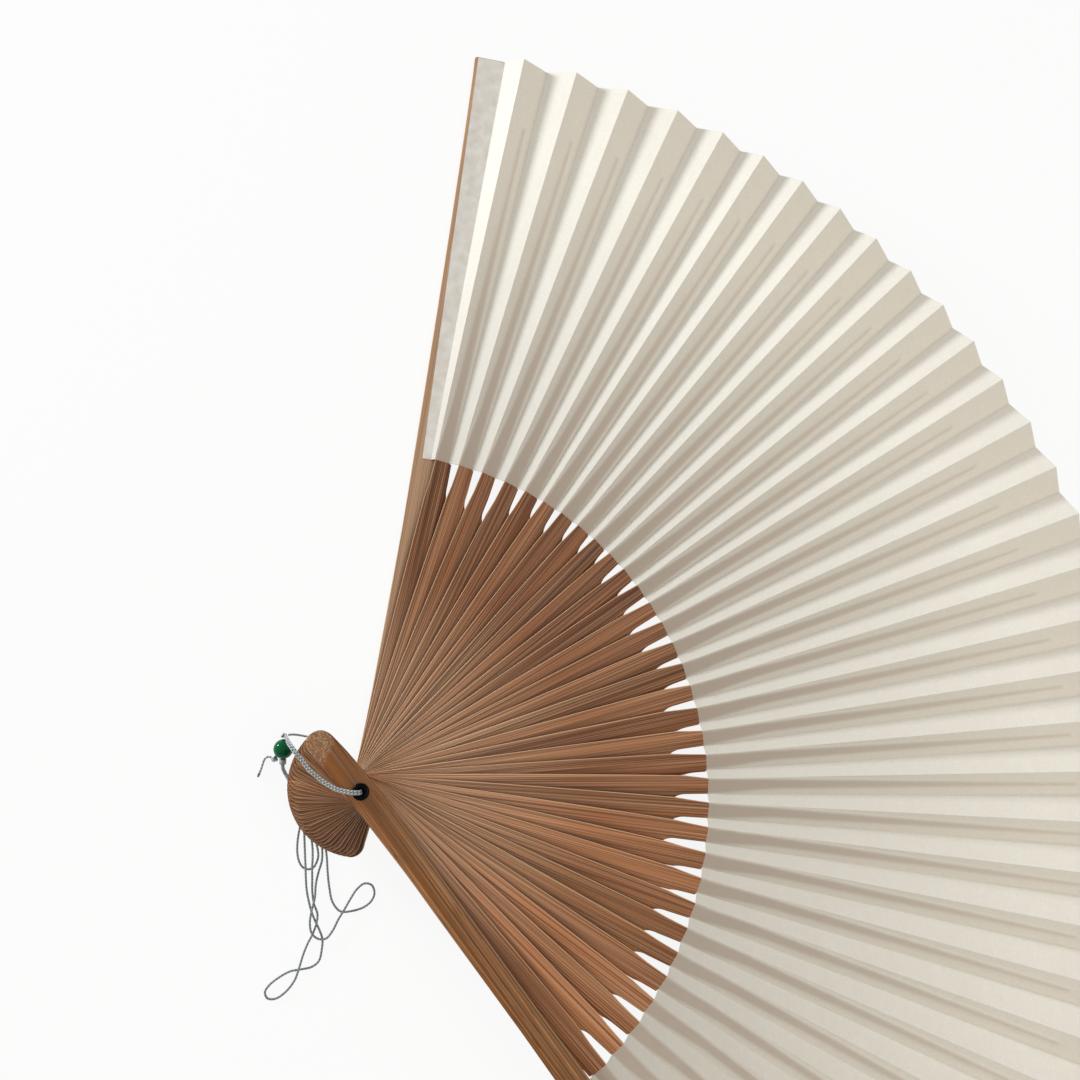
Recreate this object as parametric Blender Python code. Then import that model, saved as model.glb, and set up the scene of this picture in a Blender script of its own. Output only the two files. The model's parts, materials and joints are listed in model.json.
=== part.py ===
"""Folding fan: two guards and a set of thin bamboo ribs on one rivet, with a two-ply pleated leaf.

The rivet's axis is Z. The fan lies open on its rear guard, and the ribs climb clockwise from it in a
shallow spiral to the front guard. Lengths are in metres. A stick's own frame has u running from the
rivet to the rim and v to its anticlockwise side, and both are measured on the flat.
"""
import math

import bmesh
import bpy
import numpy as np
from mathutils import Matrix, Vector

# The fan as a whole
RIB_COUNT = 33
OPENING = math.radians(134.3)
RIM_RADIUS = 0.2735
LEAF_RADIUS = 0.116
HEAD_LENGTH = 0.0250
CLEARANCE = 0.0003

# How the opening is shared out among the joints: how many joints in a row, and their share of the mean
STEP_SHARES = ((1, 0.92), (3, 1.09), (1, 1.015), (8, 0.94), (10, 1.0), (10, 1.03), (1, 1.15))

# Ribs: full widths along u, and the lengths between them
RIB_THICKNESS = 0.0004
RIB_HEAD_WIDTH = 0.0060
RIB_PIVOT_WIDTH = 0.0094
RIB_SHOULDER_WIDTH = 0.0076
SHOULDER_LENGTH = 0.013
RIB_TAIL_WIDTH = 0.0034
RIB_TAIL_LENGTH = 0.024
RIB_TIP_WIDTH = 0.0012
RIB_TIP_INSET = 0.0255
RIB_TIP_DRIFT = 0.0010
HEAD_ROUND = 0.0085

# Pleats: the width of a ribbed facet seen from above and the height of its fold, at both edges of the leaf
FACET_INNER_WIDTH = 0.00524
FACET_RIM_WIDTH = 0.00928
PLEAT_INNER_HEIGHT = 0.0015
PLEAT_RIM_HEIGHT = 0.0050
PLY_THICKNESS = 0.00025

# The flange that the front ply has on the rear guard: its outer edge and its fold, across the guard
FLANGE_INNER_EDGES = (-0.00015, -0.00335)
FLANGE_RIM_EDGES = (0.00465, -0.0056)

# Guards
GUARD_THICKNESS = 0.0030
GUARD_HEAD_THICKNESS = 0.0012
GUARD_RELIEF_START = 0.026
GUARD_RELIEF_END = 0.050
GUARD_HEAD_WIDTH = 0.0062
GUARD_PIVOT_WIDTH = 0.0094
GUARD_NECK_WIDTH = 0.0083
GUARD_NECK_RADIUS = 0.030
GUARD_WAIST_WIDTH = 0.0080
GUARD_WAIST_RADIUS = 0.090
GUARD_TIP_WIDTH = 0.0124
GUARD_OVERHANG = 0.0010
REAR_GUARD_BOW = -0.0013
FRONT_GUARD_BOW = 0.0006
GUARD_TIP_ROUND = 0.0012
GUARD_EDGE = 0.0005

# Rivet: a plastic eyelet in two halves
STICK_HOLE_RADIUS = 0.0021
BARREL_RADIUS = 0.0018
EYELET_BORE_RADIUS = 0.0013
FLANGE_RADIUS = 0.00275
FLANGE_THICKNESS = 0.0007
REAR_FLANGE_THICKNESS = 0.0005

# Cord, bead and knots
CORD_DIAMETER = 0.00075
WHIPPED_DIAMETER = 0.0013
BEAD_RADIUS = 0.00335
BEAD_BORE_RADIUS = 0.0006
BEAD_CENTRE = (-0.0187, -0.0242, 0.0034)
BEAD_AXIS = (0.932, -0.286, -0.224)
TOP_KNOT_RADIUS = 0.0011
COLLAR_RADIUS = 0.0012
COLLAR_LENGTH = 0.0016
SIDE_KNOT_RADIUS = 0.0012
SIDE_KNOT_CENTRE = (-0.0161, -0.0280, 0.0014)
LOOP_KNOT_RADIUS = 0.0022
LOOP_KNOT_CENTRE = (0.0049, -0.0205, 0.0023)
TAIL_TIP_LENGTH = 0.0016

# Cord routes, point by point from the rivet's axis at the height of the surface that the fan lies on
FRONT_STRAND_ROUTE = (
    (0.0001, 0.0001, 0.0268),
    (0.0001, -0.0003, 0.0284),
    (-0.0002, -0.0013, 0.0294),
    (-0.0006, -0.0026, 0.0297),
    (-0.0014, -0.0044, 0.0295),
    (-0.0029, -0.0072, 0.0291),
    (-0.0046, -0.0091, 0.0288),
    (-0.0065, -0.0109, 0.0286),
    (-0.0085, -0.0124, 0.0285),
    (-0.0105, -0.0139, 0.0285),
    (-0.0138, -0.0154, 0.0285),
    (-0.0171, -0.0170, 0.0285),
    (-0.0188, -0.0178, 0.0282),
    (-0.0203, -0.0186, 0.0268),
    (-0.0212, -0.0193, 0.0238),
    (-0.0217, -0.0200, 0.0192),
    (-0.0221, -0.0208, 0.0146),
    (-0.0225, -0.0216, 0.0100),
    (-0.0228, -0.0223, 0.0062),
)
RETURN_STRAND_ROUTE = (
    (-0.0229, -0.0214, 0.0040),
    (-0.0227, -0.0203, 0.0028),
    (-0.0222, -0.0190, 0.0017),
    (-0.0214, -0.0173, 0.0008),
    (-0.0200, -0.0146, 0.0004),
    (-0.0174, -0.0106, 0.0004),
    (-0.0145, -0.0083, 0.0004),
    (-0.0111, -0.0066, 0.0004),
    (-0.0080, -0.0051, 0.0004),
    (-0.0048, -0.0036, 0.0004),
    (-0.0020, -0.0019, 0.0004),
    (-0.0005, -0.0006, 0.0006),
    (0.0001, -0.0001, 0.0014),
    (0.0002, 0.0001, 0.0026),
)
WHIPPED_ROUTE = (
    (-0.0135, -0.0258, 0.0021),
    (-0.0123, -0.0260, 0.0016),
    (-0.0104, -0.0257, 0.0010),
    (-0.0073, -0.0247, 0.0007),
    (-0.0036, -0.0233, 0.0008),
    (-0.0003, -0.0221, 0.0014),
    (0.0022, -0.0213, 0.0019),
)
TAIL_ROUTE = (
    (-0.0169, -0.0292, 0.0008),
    (-0.0173, -0.0300, 0.0005),
    (-0.0172, -0.0310, 0.0004),
    (-0.0163, -0.0319, 0.0004),
    (-0.0150, -0.0327, 0.0004),
    (-0.0138, -0.0334, 0.0004),
    (-0.0128, -0.0341, 0.0004),
)
SHORT_LOOP_ROUTE = (
    (0.0047, -0.0231, 0.0012), (0.0075, -0.0244, 0.0006), (0.0105, -0.0258, 0.0004),
    (0.0133, -0.0268, 0.0004), (0.0162, -0.0275, 0.0004), (0.0193, -0.0276, 0.0004),
    (0.0215, -0.0269, 0.0004), (0.0227, -0.0254, 0.0004), (0.0227, -0.0235, 0.0004),
    (0.0213, -0.0220, 0.0004), (0.0194, -0.0210, 0.0004), (0.0169, -0.0207, 0.0004),
    (0.0139, -0.0208, 0.0004), (0.0105, -0.0208, 0.0006), (0.0076, -0.0207, 0.0012),
)
LONG_LOOP_ROUTE = (
    (0.0063, -0.0229, 0.0012), (0.0091, -0.0236, 0.0006), (0.0123, -0.0242, 0.0004),
    (0.0156, -0.0248, 0.0004), (0.0188, -0.0253, 0.0010), (0.0220, -0.0258, 0.0015),
    (0.0253, -0.0265, 0.0010), (0.0296, -0.0272, 0.0004), (0.0336, -0.0273, 0.0004),
    (0.0371, -0.0271, 0.0004), (0.0401, -0.0266, 0.0004), (0.0432, -0.0259, 0.0004),
    (0.0463, -0.0256, 0.0004), (0.0497, -0.0266, 0.0004), (0.0529, -0.0283, 0.0004),
    (0.0541, -0.0310, 0.0004), (0.0539, -0.0347, 0.0004), (0.0536, -0.0382, 0.0004),
    (0.0545, -0.0421, 0.0004), (0.0560, -0.0456, 0.0004), (0.0578, -0.0475, 0.0004),
    (0.0599, -0.0472, 0.0004), (0.0608, -0.0449, 0.0004), (0.0597, -0.0412, 0.0005),
    (0.0566, -0.0372, 0.0012), (0.0535, -0.0351, 0.0015), (0.0495, -0.0328, 0.0010),
    (0.0465, -0.0307, 0.0004), (0.0441, -0.0286, 0.0005), (0.0409, -0.0264, 0.0015),
    (0.0378, -0.0253, 0.0011), (0.0344, -0.0258, 0.0004), (0.0304, -0.0255, 0.0004),
    (0.0261, -0.0245, 0.0010), (0.0226, -0.0237, 0.0015), (0.0191, -0.0228, 0.0010),
    (0.0156, -0.0222, 0.0004), (0.0112, -0.0219, 0.0006), (0.0075, -0.0219, 0.0012),
)
SIDE_LOOP_ROUTE = (
    (0.0063, -0.0182, 0.0012), (0.0096, -0.0177, 0.0006), (0.0136, -0.0177, 0.0004),
    (0.0174, -0.0180, 0.0004), (0.0211, -0.0184, 0.0004), (0.0253, -0.0191, 0.0004),
    (0.0306, -0.0197, 0.0004), (0.0354, -0.0197, 0.0004), (0.0390, -0.0179, 0.0004),
    (0.0400, -0.0140, 0.0004), (0.0398, -0.0099, 0.0004), (0.0384, -0.0069, 0.0004),
    (0.0361, -0.0054, 0.0004), (0.0334, -0.0058, 0.0004), (0.0323, -0.0080, 0.0004),
    (0.0334, -0.0108, 0.0006), (0.0359, -0.0136, 0.0011), (0.0387, -0.0163, 0.0015),
    (0.0415, -0.0191, 0.0012), (0.0442, -0.0214, 0.0011), (0.0462, -0.0242, 0.0015),
    (0.0456, -0.0268, 0.0015), (0.0432, -0.0284, 0.0018), (0.0399, -0.0283, 0.0016),
    (0.0362, -0.0269, 0.0015), (0.0324, -0.0250, 0.0013), (0.0281, -0.0237, 0.0009),
    (0.0245, -0.0220, 0.0004), (0.0213, -0.0202, 0.0004), (0.0178, -0.0193, 0.0004),
    (0.0137, -0.0191, 0.0004), (0.0102, -0.0192, 0.0006), (0.0076, -0.0194, 0.0012),
)
ROUTE_STEP = 0.0021

# Heights worked out from the sizes above
STACK_STEP = RIB_THICKNESS + CLEARANCE
RIB_BASE = GUARD_THICKNESS + CLEARANCE
FRONT_BASE = RIB_BASE + RIB_COUNT * STACK_STEP
FRONT_FACE = FRONT_BASE + GUARD_HEAD_THICKNESS
REAR_RELIEF = GUARD_THICKNESS - GUARD_HEAD_THICKNESS
TIP_RADIUS = RIM_RADIUS - RIB_TIP_INSET
SHOULDER_RADIUS = LEAF_RADIUS - SHOULDER_LENGTH

# Fineness of the round shapes
HEAD_SECTIONS = 5
SHOULDER_SECTIONS = 4
LEAF_SECTIONS = 4
HOLE_SIDES = 16
TURNED_SIDES = 28
BEAD_PROFILE_POINTS = 9


def smooth(x):
    """An S-curve that goes from 0 to 1 as x does, level at both ends."""
    x = np.clip(x, 0.0, 1.0)
    return x * x * (3.0 - 2.0 * x)


def leaf_share(u):
    """How far u is from the leaf's inner edge, 0, to the rim, 1; it goes below 0 inside the edge."""
    return (u - LEAF_RADIUS) / (RIM_RADIUS - LEAF_RADIUS)


def pleat_height(u):
    """Height of the mountain folds over the valley folds: a straight line, and nothing near the rivet."""
    return max(0.0, PLEAT_INNER_HEIGHT + (PLEAT_RIM_HEIGHT - PLEAT_INNER_HEIGHT) * leaf_share(u))


def facet_half(u):
    """Half the width of a ribbed facet, whose folds are straight lines."""
    return 0.5 * (FACET_INNER_WIDTH + (FACET_RIM_WIDTH - FACET_INNER_WIDTH) * leaf_share(u))


def step_angles():
    """The angle from each stick to the next, from the rear guard round to the front guard."""
    shares = [share for count, share in STEP_SHARES for _ in range(count)]
    return [OPENING * share / sum(shares) for share in shares]


def stick_angles():
    """The direction of each stick's u axis. The fan opens evenly about +Y."""
    return 0.5 * (math.pi + OPENING) - np.concatenate([[0.0], np.cumsum(step_angles())])


def stick_base(index):
    """Height of a stick's underside at the rivet."""
    return RIB_BASE + (index - 1) * STACK_STEP


def head_round(u):
    """Share of the full width that is left on the rounded end of the head."""
    along = (u + HEAD_LENGTH) / HEAD_ROUND
    return math.sqrt(max(0.0, 1.0 - (1.0 - along) ** 2)) if along < 1.0 else 1.0


def head_stations():
    """Places along the rounded head, where the arc needs them."""
    turns = np.linspace(math.radians(24), math.radians(90), HEAD_SECTIONS)
    return [-HEAD_LENGTH + HEAD_ROUND * (1.0 - math.cos(turn)) for turn in turns]


def rib_half_width(u):
    """Half the rib's width: the head, a blade that narrows with the square of the distance, a shoulder at
    the leaf's edge, and a tail inside the leaf."""
    if u < 0.0:
        along = 1.0 + u / HEAD_LENGTH
        return 0.5 * (RIB_HEAD_WIDTH + (RIB_PIVOT_WIDTH - RIB_HEAD_WIDTH) * along) * head_round(u)
    if u < SHOULDER_RADIUS:
        along = u / SHOULDER_RADIUS
        return 0.5 * (RIB_PIVOT_WIDTH + (RIB_SHOULDER_WIDTH - RIB_PIVOT_WIDTH) * along ** 2)
    if u < LEAF_RADIUS:
        turn = smooth((u - SHOULDER_RADIUS) / SHOULDER_LENGTH)
        return 0.5 * (RIB_SHOULDER_WIDTH + (FACET_INNER_WIDTH - RIB_SHOULDER_WIDTH) * turn)
    places = (LEAF_RADIUS, LEAF_RADIUS + RIB_TAIL_LENGTH, TIP_RADIUS)
    return 0.5 * float(np.interp(u, places, (FACET_INNER_WIDTH, RIB_TAIL_WIDTH, RIB_TIP_WIDTH)))


def rib_section(u):
    """Four corners of the rib at u. Its low edge runs along the valley fold and its high edge climbs
    with the mountain fold, so the blade is flat at the rivet and twists towards the leaf."""
    half = rib_half_width(u)
    reach = facet_half(u) if u > LEAF_RADIUS else half
    drift = RIB_TIP_DRIFT * max(0.0, (u - LEAF_RADIUS) / (TIP_RADIUS - LEAF_RADIUS))
    slope = pleat_height(u) / (2.0 * reach)
    corners = []
    for side, lift in ((-1, 0.0), (1, 0.0), (1, RIB_THICKNESS), (-1, RIB_THICKNESS)):
        across = side * half - drift
        corners.append((u, across, slope * (across + reach) + lift))
    return corners


def rib_stations():
    """Places along the rib: round the head, along the blade, round the shoulder and inside the leaf."""
    twist_start = LEAF_RADIUS - (RIM_RADIUS - LEAF_RADIUS) * PLEAT_INNER_HEIGHT / (
        PLEAT_RIM_HEIGHT - PLEAT_INNER_HEIGHT)
    blade = [0.5 * (HEAD_ROUND - HEAD_LENGTH), 0.0, twist_start, 0.5 * (twist_start + SHOULDER_RADIUS)]
    shoulder = list(SHOULDER_RADIUS + SHOULDER_LENGTH * np.linspace(0.0, 1.0, SHOULDER_SECTIONS))
    tail = [LEAF_RADIUS + RIB_TAIL_LENGTH]
    tail += list(np.linspace(LEAF_RADIUS + RIB_TAIL_LENGTH, TIP_RADIUS, LEAF_SECTIONS)[1:])
    return head_stations() + blade + shoulder + tail


def guard_half_width(u):
    """Half the guard's width: narrowest at the waist, widest at the tip, which is rounded off."""
    places = (-HEAD_LENGTH, 0.0, GUARD_NECK_RADIUS, GUARD_WAIST_RADIUS, RIM_RADIUS)
    widths = (GUARD_HEAD_WIDTH, GUARD_PIVOT_WIDTH, GUARD_NECK_WIDTH, GUARD_WAIST_WIDTH, GUARD_TIP_WIDTH)
    half = 0.5 * float(np.interp(u, places, widths)) * head_round(u)
    past = (u - (RIM_RADIUS + GUARD_OVERHANG - GUARD_TIP_ROUND)) / GUARD_TIP_ROUND
    return half - GUARD_TIP_ROUND * (1.0 - math.sqrt(max(0.0, 1.0 - past ** 2))) if past > 0 else half


def guard_section(u, full_bow):
    """Eight corners of a guard at u, with its inner face at height 0 and its outer face above.
    full_bow is how far the guard bows to its anticlockwise side, which it soon reaches past the rivet."""
    half = guard_half_width(u)
    bow = full_bow * math.sin(math.pi * min(1.0, max(0.0, u) / RIM_RADIUS)) ** 0.5
    relief = smooth((u - GUARD_RELIEF_START) / (GUARD_RELIEF_END - GUARD_RELIEF_START))
    thick = GUARD_HEAD_THICKNESS + (GUARD_THICKNESS - GUARD_HEAD_THICKNESS) * relief
    edge = min(GUARD_EDGE, 0.4 * half)
    inner_edge = 0.5 * edge
    outline = ((-half + inner_edge, 0.0), (half - inner_edge, 0.0), (half, inner_edge), (half, thick - edge),
               (half - edge, thick), (-half + edge, thick), (-half, thick - edge), (-half, inner_edge))
    return [(u, across + bow, up) for across, up in outline]


def guard_stations():
    """Places along a guard: round the head, through the relief, along the blade and round the tip."""
    blade = [0.5 * (HEAD_ROUND - HEAD_LENGTH), 0.0, GUARD_RELIEF_START]
    relief = list(np.linspace(GUARD_RELIEF_START, GUARD_RELIEF_END, HEAD_SECTIONS)[1:])
    rim = list(np.linspace(GUARD_WAIST_RADIUS, RIM_RADIUS + GUARD_OVERHANG - GUARD_TIP_ROUND, 9))
    tip = [RIM_RADIUS + GUARD_OVERHANG - GUARD_TIP_ROUND * share for share in (0.6, 0.25, 0.0)]
    return head_stations() + blade + relief + rim + tip


def new_material(name, colour, roughness, metallic=0.0):
    """A Principled material; colour is linear red, green and blue."""
    material = bpy.data.materials.new(name)
    material.use_nodes = True
    shader = material.node_tree.nodes["Principled BSDF"]
    shader.inputs["Base Color"].default_value = (*colour, 1.0)
    shader.inputs["Roughness"].default_value = roughness
    shader.inputs["Metallic"].default_value = metallic
    material.diffuse_color = (*colour, 1.0)
    return material


def add_object(name, data, material, parent=None, location=(0.0, 0.0, 0.0), turn=0.0):
    """Put mesh or curve data into the scene under a name, a material and a parent."""
    obj = bpy.data.objects.new(name, data)
    bpy.context.collection.objects.link(obj)
    if material is not None and not data.materials:
        data.materials.append(material)
    obj.parent = parent
    obj.location = location
    obj.rotation_euler = (0.0, 0.0, turn)
    return obj


def lofted_mesh(name, sections):
    """A solid through a row of sections that have the same number of corners."""
    bm = bmesh.new()
    rings = [[bm.verts.new(point) for point in section] for section in sections]
    count = len(rings[0])
    for near, far in zip(rings, rings[1:]):
        for i in range(count):
            j = (i + 1) % count
            bm.faces.new((near[i], near[j], far[j], far[i]))
    bm.faces.new(list(reversed(rings[0])))
    bm.faces.new(rings[-1])
    bmesh.ops.recalc_face_normals(bm, faces=bm.faces)
    mesh = bpy.data.meshes.new(name)
    bm.to_mesh(mesh)
    bm.free()
    return mesh


def drilled_mesh(mesh, drill):
    """The mesh with the rivet's hole cut through it."""
    blank = add_object("blank", mesh, None)
    cut = blank.modifiers.new("rivet hole", "BOOLEAN")
    cut.operation = "DIFFERENCE"
    cut.object = drill
    bpy.context.view_layer.update()
    done = bpy.data.meshes.new_from_object(blank.evaluated_get(bpy.context.evaluated_depsgraph_get()))
    done.name = mesh.name
    bpy.data.objects.remove(blank)
    return done


def turned_mesh(name, profile, sides=TURNED_SIDES):
    """A ring or knob turned about Z from a closed profile of (radius, height) points."""
    bm = bmesh.new()
    rings = []
    for i in range(sides):
        turn = 2.0 * math.pi * i / sides
        rings.append([bm.verts.new((r * math.cos(turn), r * math.sin(turn), z)) for r, z in profile])
    for near, far in zip(rings, rings[1:] + rings[:1]):
        for i in range(len(profile)):
            j = (i + 1) % len(profile)
            bm.faces.new((near[i], far[i], far[j], near[j]))
    bmesh.ops.recalc_face_normals(bm, faces=bm.faces)
    mesh = bpy.data.meshes.new(name)
    bm.to_mesh(mesh)
    bm.free()
    mesh.shade_smooth()
    mesh.set_sharp_from_angle(angle=math.radians(40))
    return mesh


def ball_mesh(name, radius, flat=1.0):
    """A small knot: a ball, pressed flat in z."""
    bm = bmesh.new()
    bmesh.ops.create_icosphere(bm, subdivisions=2, radius=radius)
    bmesh.ops.scale(bm, vec=(1.0, 1.0, flat), verts=bm.verts)
    mesh = bpy.data.meshes.new(name)
    bm.to_mesh(mesh)
    bm.free()
    mesh.shade_smooth()
    return mesh


def make_drill():
    """The cutter for the rivet's hole, longer than any stick is thick."""
    bm = bmesh.new()
    bmesh.ops.create_cone(bm, cap_ends=True, segments=HOLE_SIDES, radius1=STICK_HOLE_RADIUS,
                          radius2=STICK_HOLE_RADIUS, depth=3.0 * GUARD_THICKNESS)
    mesh = bpy.data.meshes.new("drill")
    bm.to_mesh(mesh)
    bm.free()
    drill = add_object("drill", mesh, None)
    drill.hide_render = True
    drill.display_type = "WIRE"
    return drill


def make_ribs(pivot, drill, material):
    """All ribs share one drilled blank, stacked up the rivet and turned to their places."""
    mesh = drilled_mesh(lofted_mesh("rib", [rib_section(u) for u in rib_stations()]), drill)
    mesh.materials.append(material)
    angles = stick_angles()
    for index in range(1, RIB_COUNT + 1):
        add_object(f"rib_{index:02d}", mesh, material, pivot, (0.0, 0.0, stick_base(index)), angles[index])


def make_guards(pivot, drill, material):
    """The rear guard lies with its outer face down. The front guard's inner face follows the pleats up."""
    angles = stick_angles()
    rear = [[(u, v, -z) for u, v, z in guard_section(u, REAR_GUARD_BOW)] for u in guard_stations()]
    rear_mesh = drilled_mesh(lofted_mesh("rear_guard", rear), drill)
    rear_mesh.materials.append(material)
    add_object("rear_guard", rear_mesh, material, pivot, (0.0, 0.0, GUARD_THICKNESS), angles[0])
    front = []
    for u in guard_stations():
        front.append([(u, v, z + pleat_height(u)) for u, v, z in guard_section(u, FRONT_GUARD_BOW)])
    front_mesh = drilled_mesh(lofted_mesh("front_guard", front), drill)
    front_mesh.materials.append(material)
    add_object("front_guard", front_mesh, material, pivot, (0.0, 0.0, FRONT_BASE), angles[-1])


def fold_lines():
    """Every fold and edge of the leaf in order: the stick it belongs to, its side and the height it has.
    Side 1 is a mountain fold and side -1 a valley fold."""
    lines = [(0, 1, 0.0), (0, -1, 0.0)]
    for index in range(1, RIB_COUNT + 1):
        lines += [(index, 1, 1.0), (index, -1, 0.0)]
    return lines + [(RIB_COUNT + 1, 1, 1.0), (RIB_COUNT + 1, -1, 1.0)]


def line_offset(index, side, u):
    """How far a fold or edge of the leaf lies from its stick's axis. The flange's go with the guard."""
    if index > 0:
        return side * facet_half(u)
    inner, rim = (FLANGE_INNER_EDGES[0], FLANGE_RIM_EDGES[0]) if side > 0 else (
        FLANGE_INNER_EDGES[1], FLANGE_RIM_EDGES[1])
    return inner + (rim - inner) * leaf_share(u)


def ply_mesh(name, lines, underside):
    """A pleated sheet over the fold lines, with its underside so far above the ribs' undersides."""
    angles = stick_angles()
    sections = []
    for index, side, high in lines:
        section = []
        for u in np.linspace(LEAF_RADIUS, RIM_RADIUS, LEAF_SECTIONS):
            across = Vector((u, line_offset(index, side, u), 0.0))
            across.rotate(Matrix.Rotation(angles[index], 3, "Z"))
            across.z = stick_base(index) + high * pleat_height(u) + underside
            section.append(across)
        section += [point + Vector((0.0, 0.0, PLY_THICKNESS)) for point in reversed(section)]
        sections.append(section)
    return lofted_mesh(name, sections)


def make_leaf(pivot, material):
    """Two plies with the ribs between them. The front ply is glued to the rear guard's inner face, and
    the back ply to the front guard's; each stops at the fold before the other guard."""
    lines = fold_lines()
    front_ply = ply_mesh("leaf_front_ply", lines[:-2], RIB_THICKNESS + CLEARANCE)
    add_object("leaf_front_ply", front_ply, material, pivot)
    back_ply = ply_mesh("leaf_back_ply", lines[2:], -CLEARANCE - PLY_THICKNESS)
    add_object("leaf_back_ply", back_ply, material, pivot)


def make_eyelet(pivot, material):
    """The front half has the barrel and a rounded flange, and the rear half is a ring round its end."""
    front = FRONT_FACE + CLEARANCE
    rear_bottom = REAR_RELIEF - CLEARANCE - REAR_FLANGE_THICKNESS
    lip = 0.3 * FLANGE_THICKNESS
    profile = [(EYELET_BORE_RADIUS, rear_bottom), (BARREL_RADIUS, rear_bottom), (BARREL_RADIUS, front),
               (FLANGE_RADIUS, front), (FLANGE_RADIUS, front + FLANGE_THICKNESS - 2.0 * lip),
               (FLANGE_RADIUS - lip, front + FLANGE_THICKNESS - 0.5 * lip),
               (FLANGE_RADIUS - 2.0 * lip, front + FLANGE_THICKNESS),
               (EYELET_BORE_RADIUS + lip, front + FLANGE_THICKNESS),
               (EYELET_BORE_RADIUS, front + FLANGE_THICKNESS - lip)]
    add_object("eyelet_front", turned_mesh("eyelet_front", profile), material, pivot)
    inner = BARREL_RADIUS + 0.5 * CLEARANCE
    ring = [(inner, rear_bottom), (FLANGE_RADIUS - lip, rear_bottom), (FLANGE_RADIUS, rear_bottom + lip),
            (FLANGE_RADIUS, rear_bottom + REAR_FLANGE_THICKNESS), (inner, rear_bottom + REAR_FLANGE_THICKNESS)]
    add_object("eyelet_rear", turned_mesh("eyelet_rear", ring), material, pivot)


def axis_turn(axis):
    """The rotation that takes Z to an axis."""
    return Vector(axis).normalized().to_track_quat("Z", "Y")


def place_on_axis(obj, axis, location):
    """Turn a turned piece's own Z to an axis and move it there."""
    obj.rotation_mode = "QUATERNION"
    obj.rotation_quaternion = axis_turn(axis)
    obj.location = location


def make_bead(pivot, glass, cord):
    """A bored glass bead, with a knot over its upper end and a whipped collar under its lower end."""
    axis = Vector(BEAD_AXIS).normalized()
    centre = Vector(BEAD_CENTRE)
    start = math.asin(BEAD_BORE_RADIUS / BEAD_RADIUS)
    turns = np.linspace(start, math.pi - start, BEAD_PROFILE_POINTS)
    profile = [(BEAD_RADIUS * math.sin(turn), BEAD_RADIUS * math.cos(turn)) for turn in turns]
    bead = add_object("bead", turned_mesh("bead", profile), glass, pivot)
    place_on_axis(bead, axis, centre)
    face = BEAD_RADIUS * math.cos(start) + CLEARANCE
    knot = add_object("top_knot", ball_mesh("top_knot", TOP_KNOT_RADIUS), cord, pivot)
    knot.location = centre - axis * (face + TOP_KNOT_RADIUS)
    edge = 0.25 * COLLAR_RADIUS
    ring = [(0.5 * CORD_DIAMETER, 0.0), (COLLAR_RADIUS - edge, 0.0), (COLLAR_RADIUS, edge),
            (COLLAR_RADIUS, COLLAR_LENGTH - edge), (COLLAR_RADIUS - edge, COLLAR_LENGTH),
            (0.5 * CORD_DIAMETER, COLLAR_LENGTH)]
    collar = add_object("collar", turned_mesh("collar", ring, HOLE_SIDES), cord, pivot)
    place_on_axis(collar, axis, centre + axis * face)


def smooth_route(points):
    """Points a few diameters apart on a smooth curve through the route: a cubic between neighbours,
    whose slope at each point follows the two points beside it."""
    route = np.array(points)
    gaps = np.sqrt(np.linalg.norm(np.diff(route, axis=0), axis=1))
    knots = np.concatenate([[0.0], np.cumsum(gaps)])
    slopes = np.gradient(route, knots, axis=0)
    length = float(np.sum(np.linalg.norm(np.diff(route, axis=0), axis=1)))
    places = np.linspace(0.0, knots[-1], max(4, round(length / ROUTE_STEP)) + 1)
    span = np.clip(np.searchsorted(knots, places, side="right") - 1, 0, len(gaps) - 1)
    width = gaps[span][:, None]
    t = ((places - knots[span]) / gaps[span])[:, None]
    start = (2 * t ** 3 - 3 * t ** 2 + 1) * route[span] + (t ** 3 - 2 * t ** 2 + t) * width * slopes[span]
    end = (3 * t ** 2 - 2 * t ** 3) * route[span + 1] + (t ** 3 - t ** 2) * width * slopes[span + 1]
    return start + end


def add_cord(name, points, diameter, material, pivot):
    """A round cord along a route, as a curve with filled caps."""
    curve = bpy.data.curves.new(name, "CURVE")
    curve.dimensions = "3D"
    curve.bevel_depth = 0.5 * diameter
    curve.bevel_resolution = 2
    curve.use_fill_caps = True
    path = smooth_route(points)
    spline = curve.splines.new("POLY")
    spline.points.add(len(path) - 1)
    spline.points.foreach_set("co", np.column_stack([path, np.ones(len(path))]).ravel())
    return add_object(name, curve, material, pivot)


def side_by_side(points, offset):
    """The route of one of two strands that lie against each other, moved level across its run."""
    route = np.array(points)
    run = np.gradient(route, axis=0)
    across = np.column_stack([-run[:, 1], run[:, 0], np.zeros(len(run))])
    return route + offset * across / np.linalg.norm(across, axis=1)[:, None]


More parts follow.
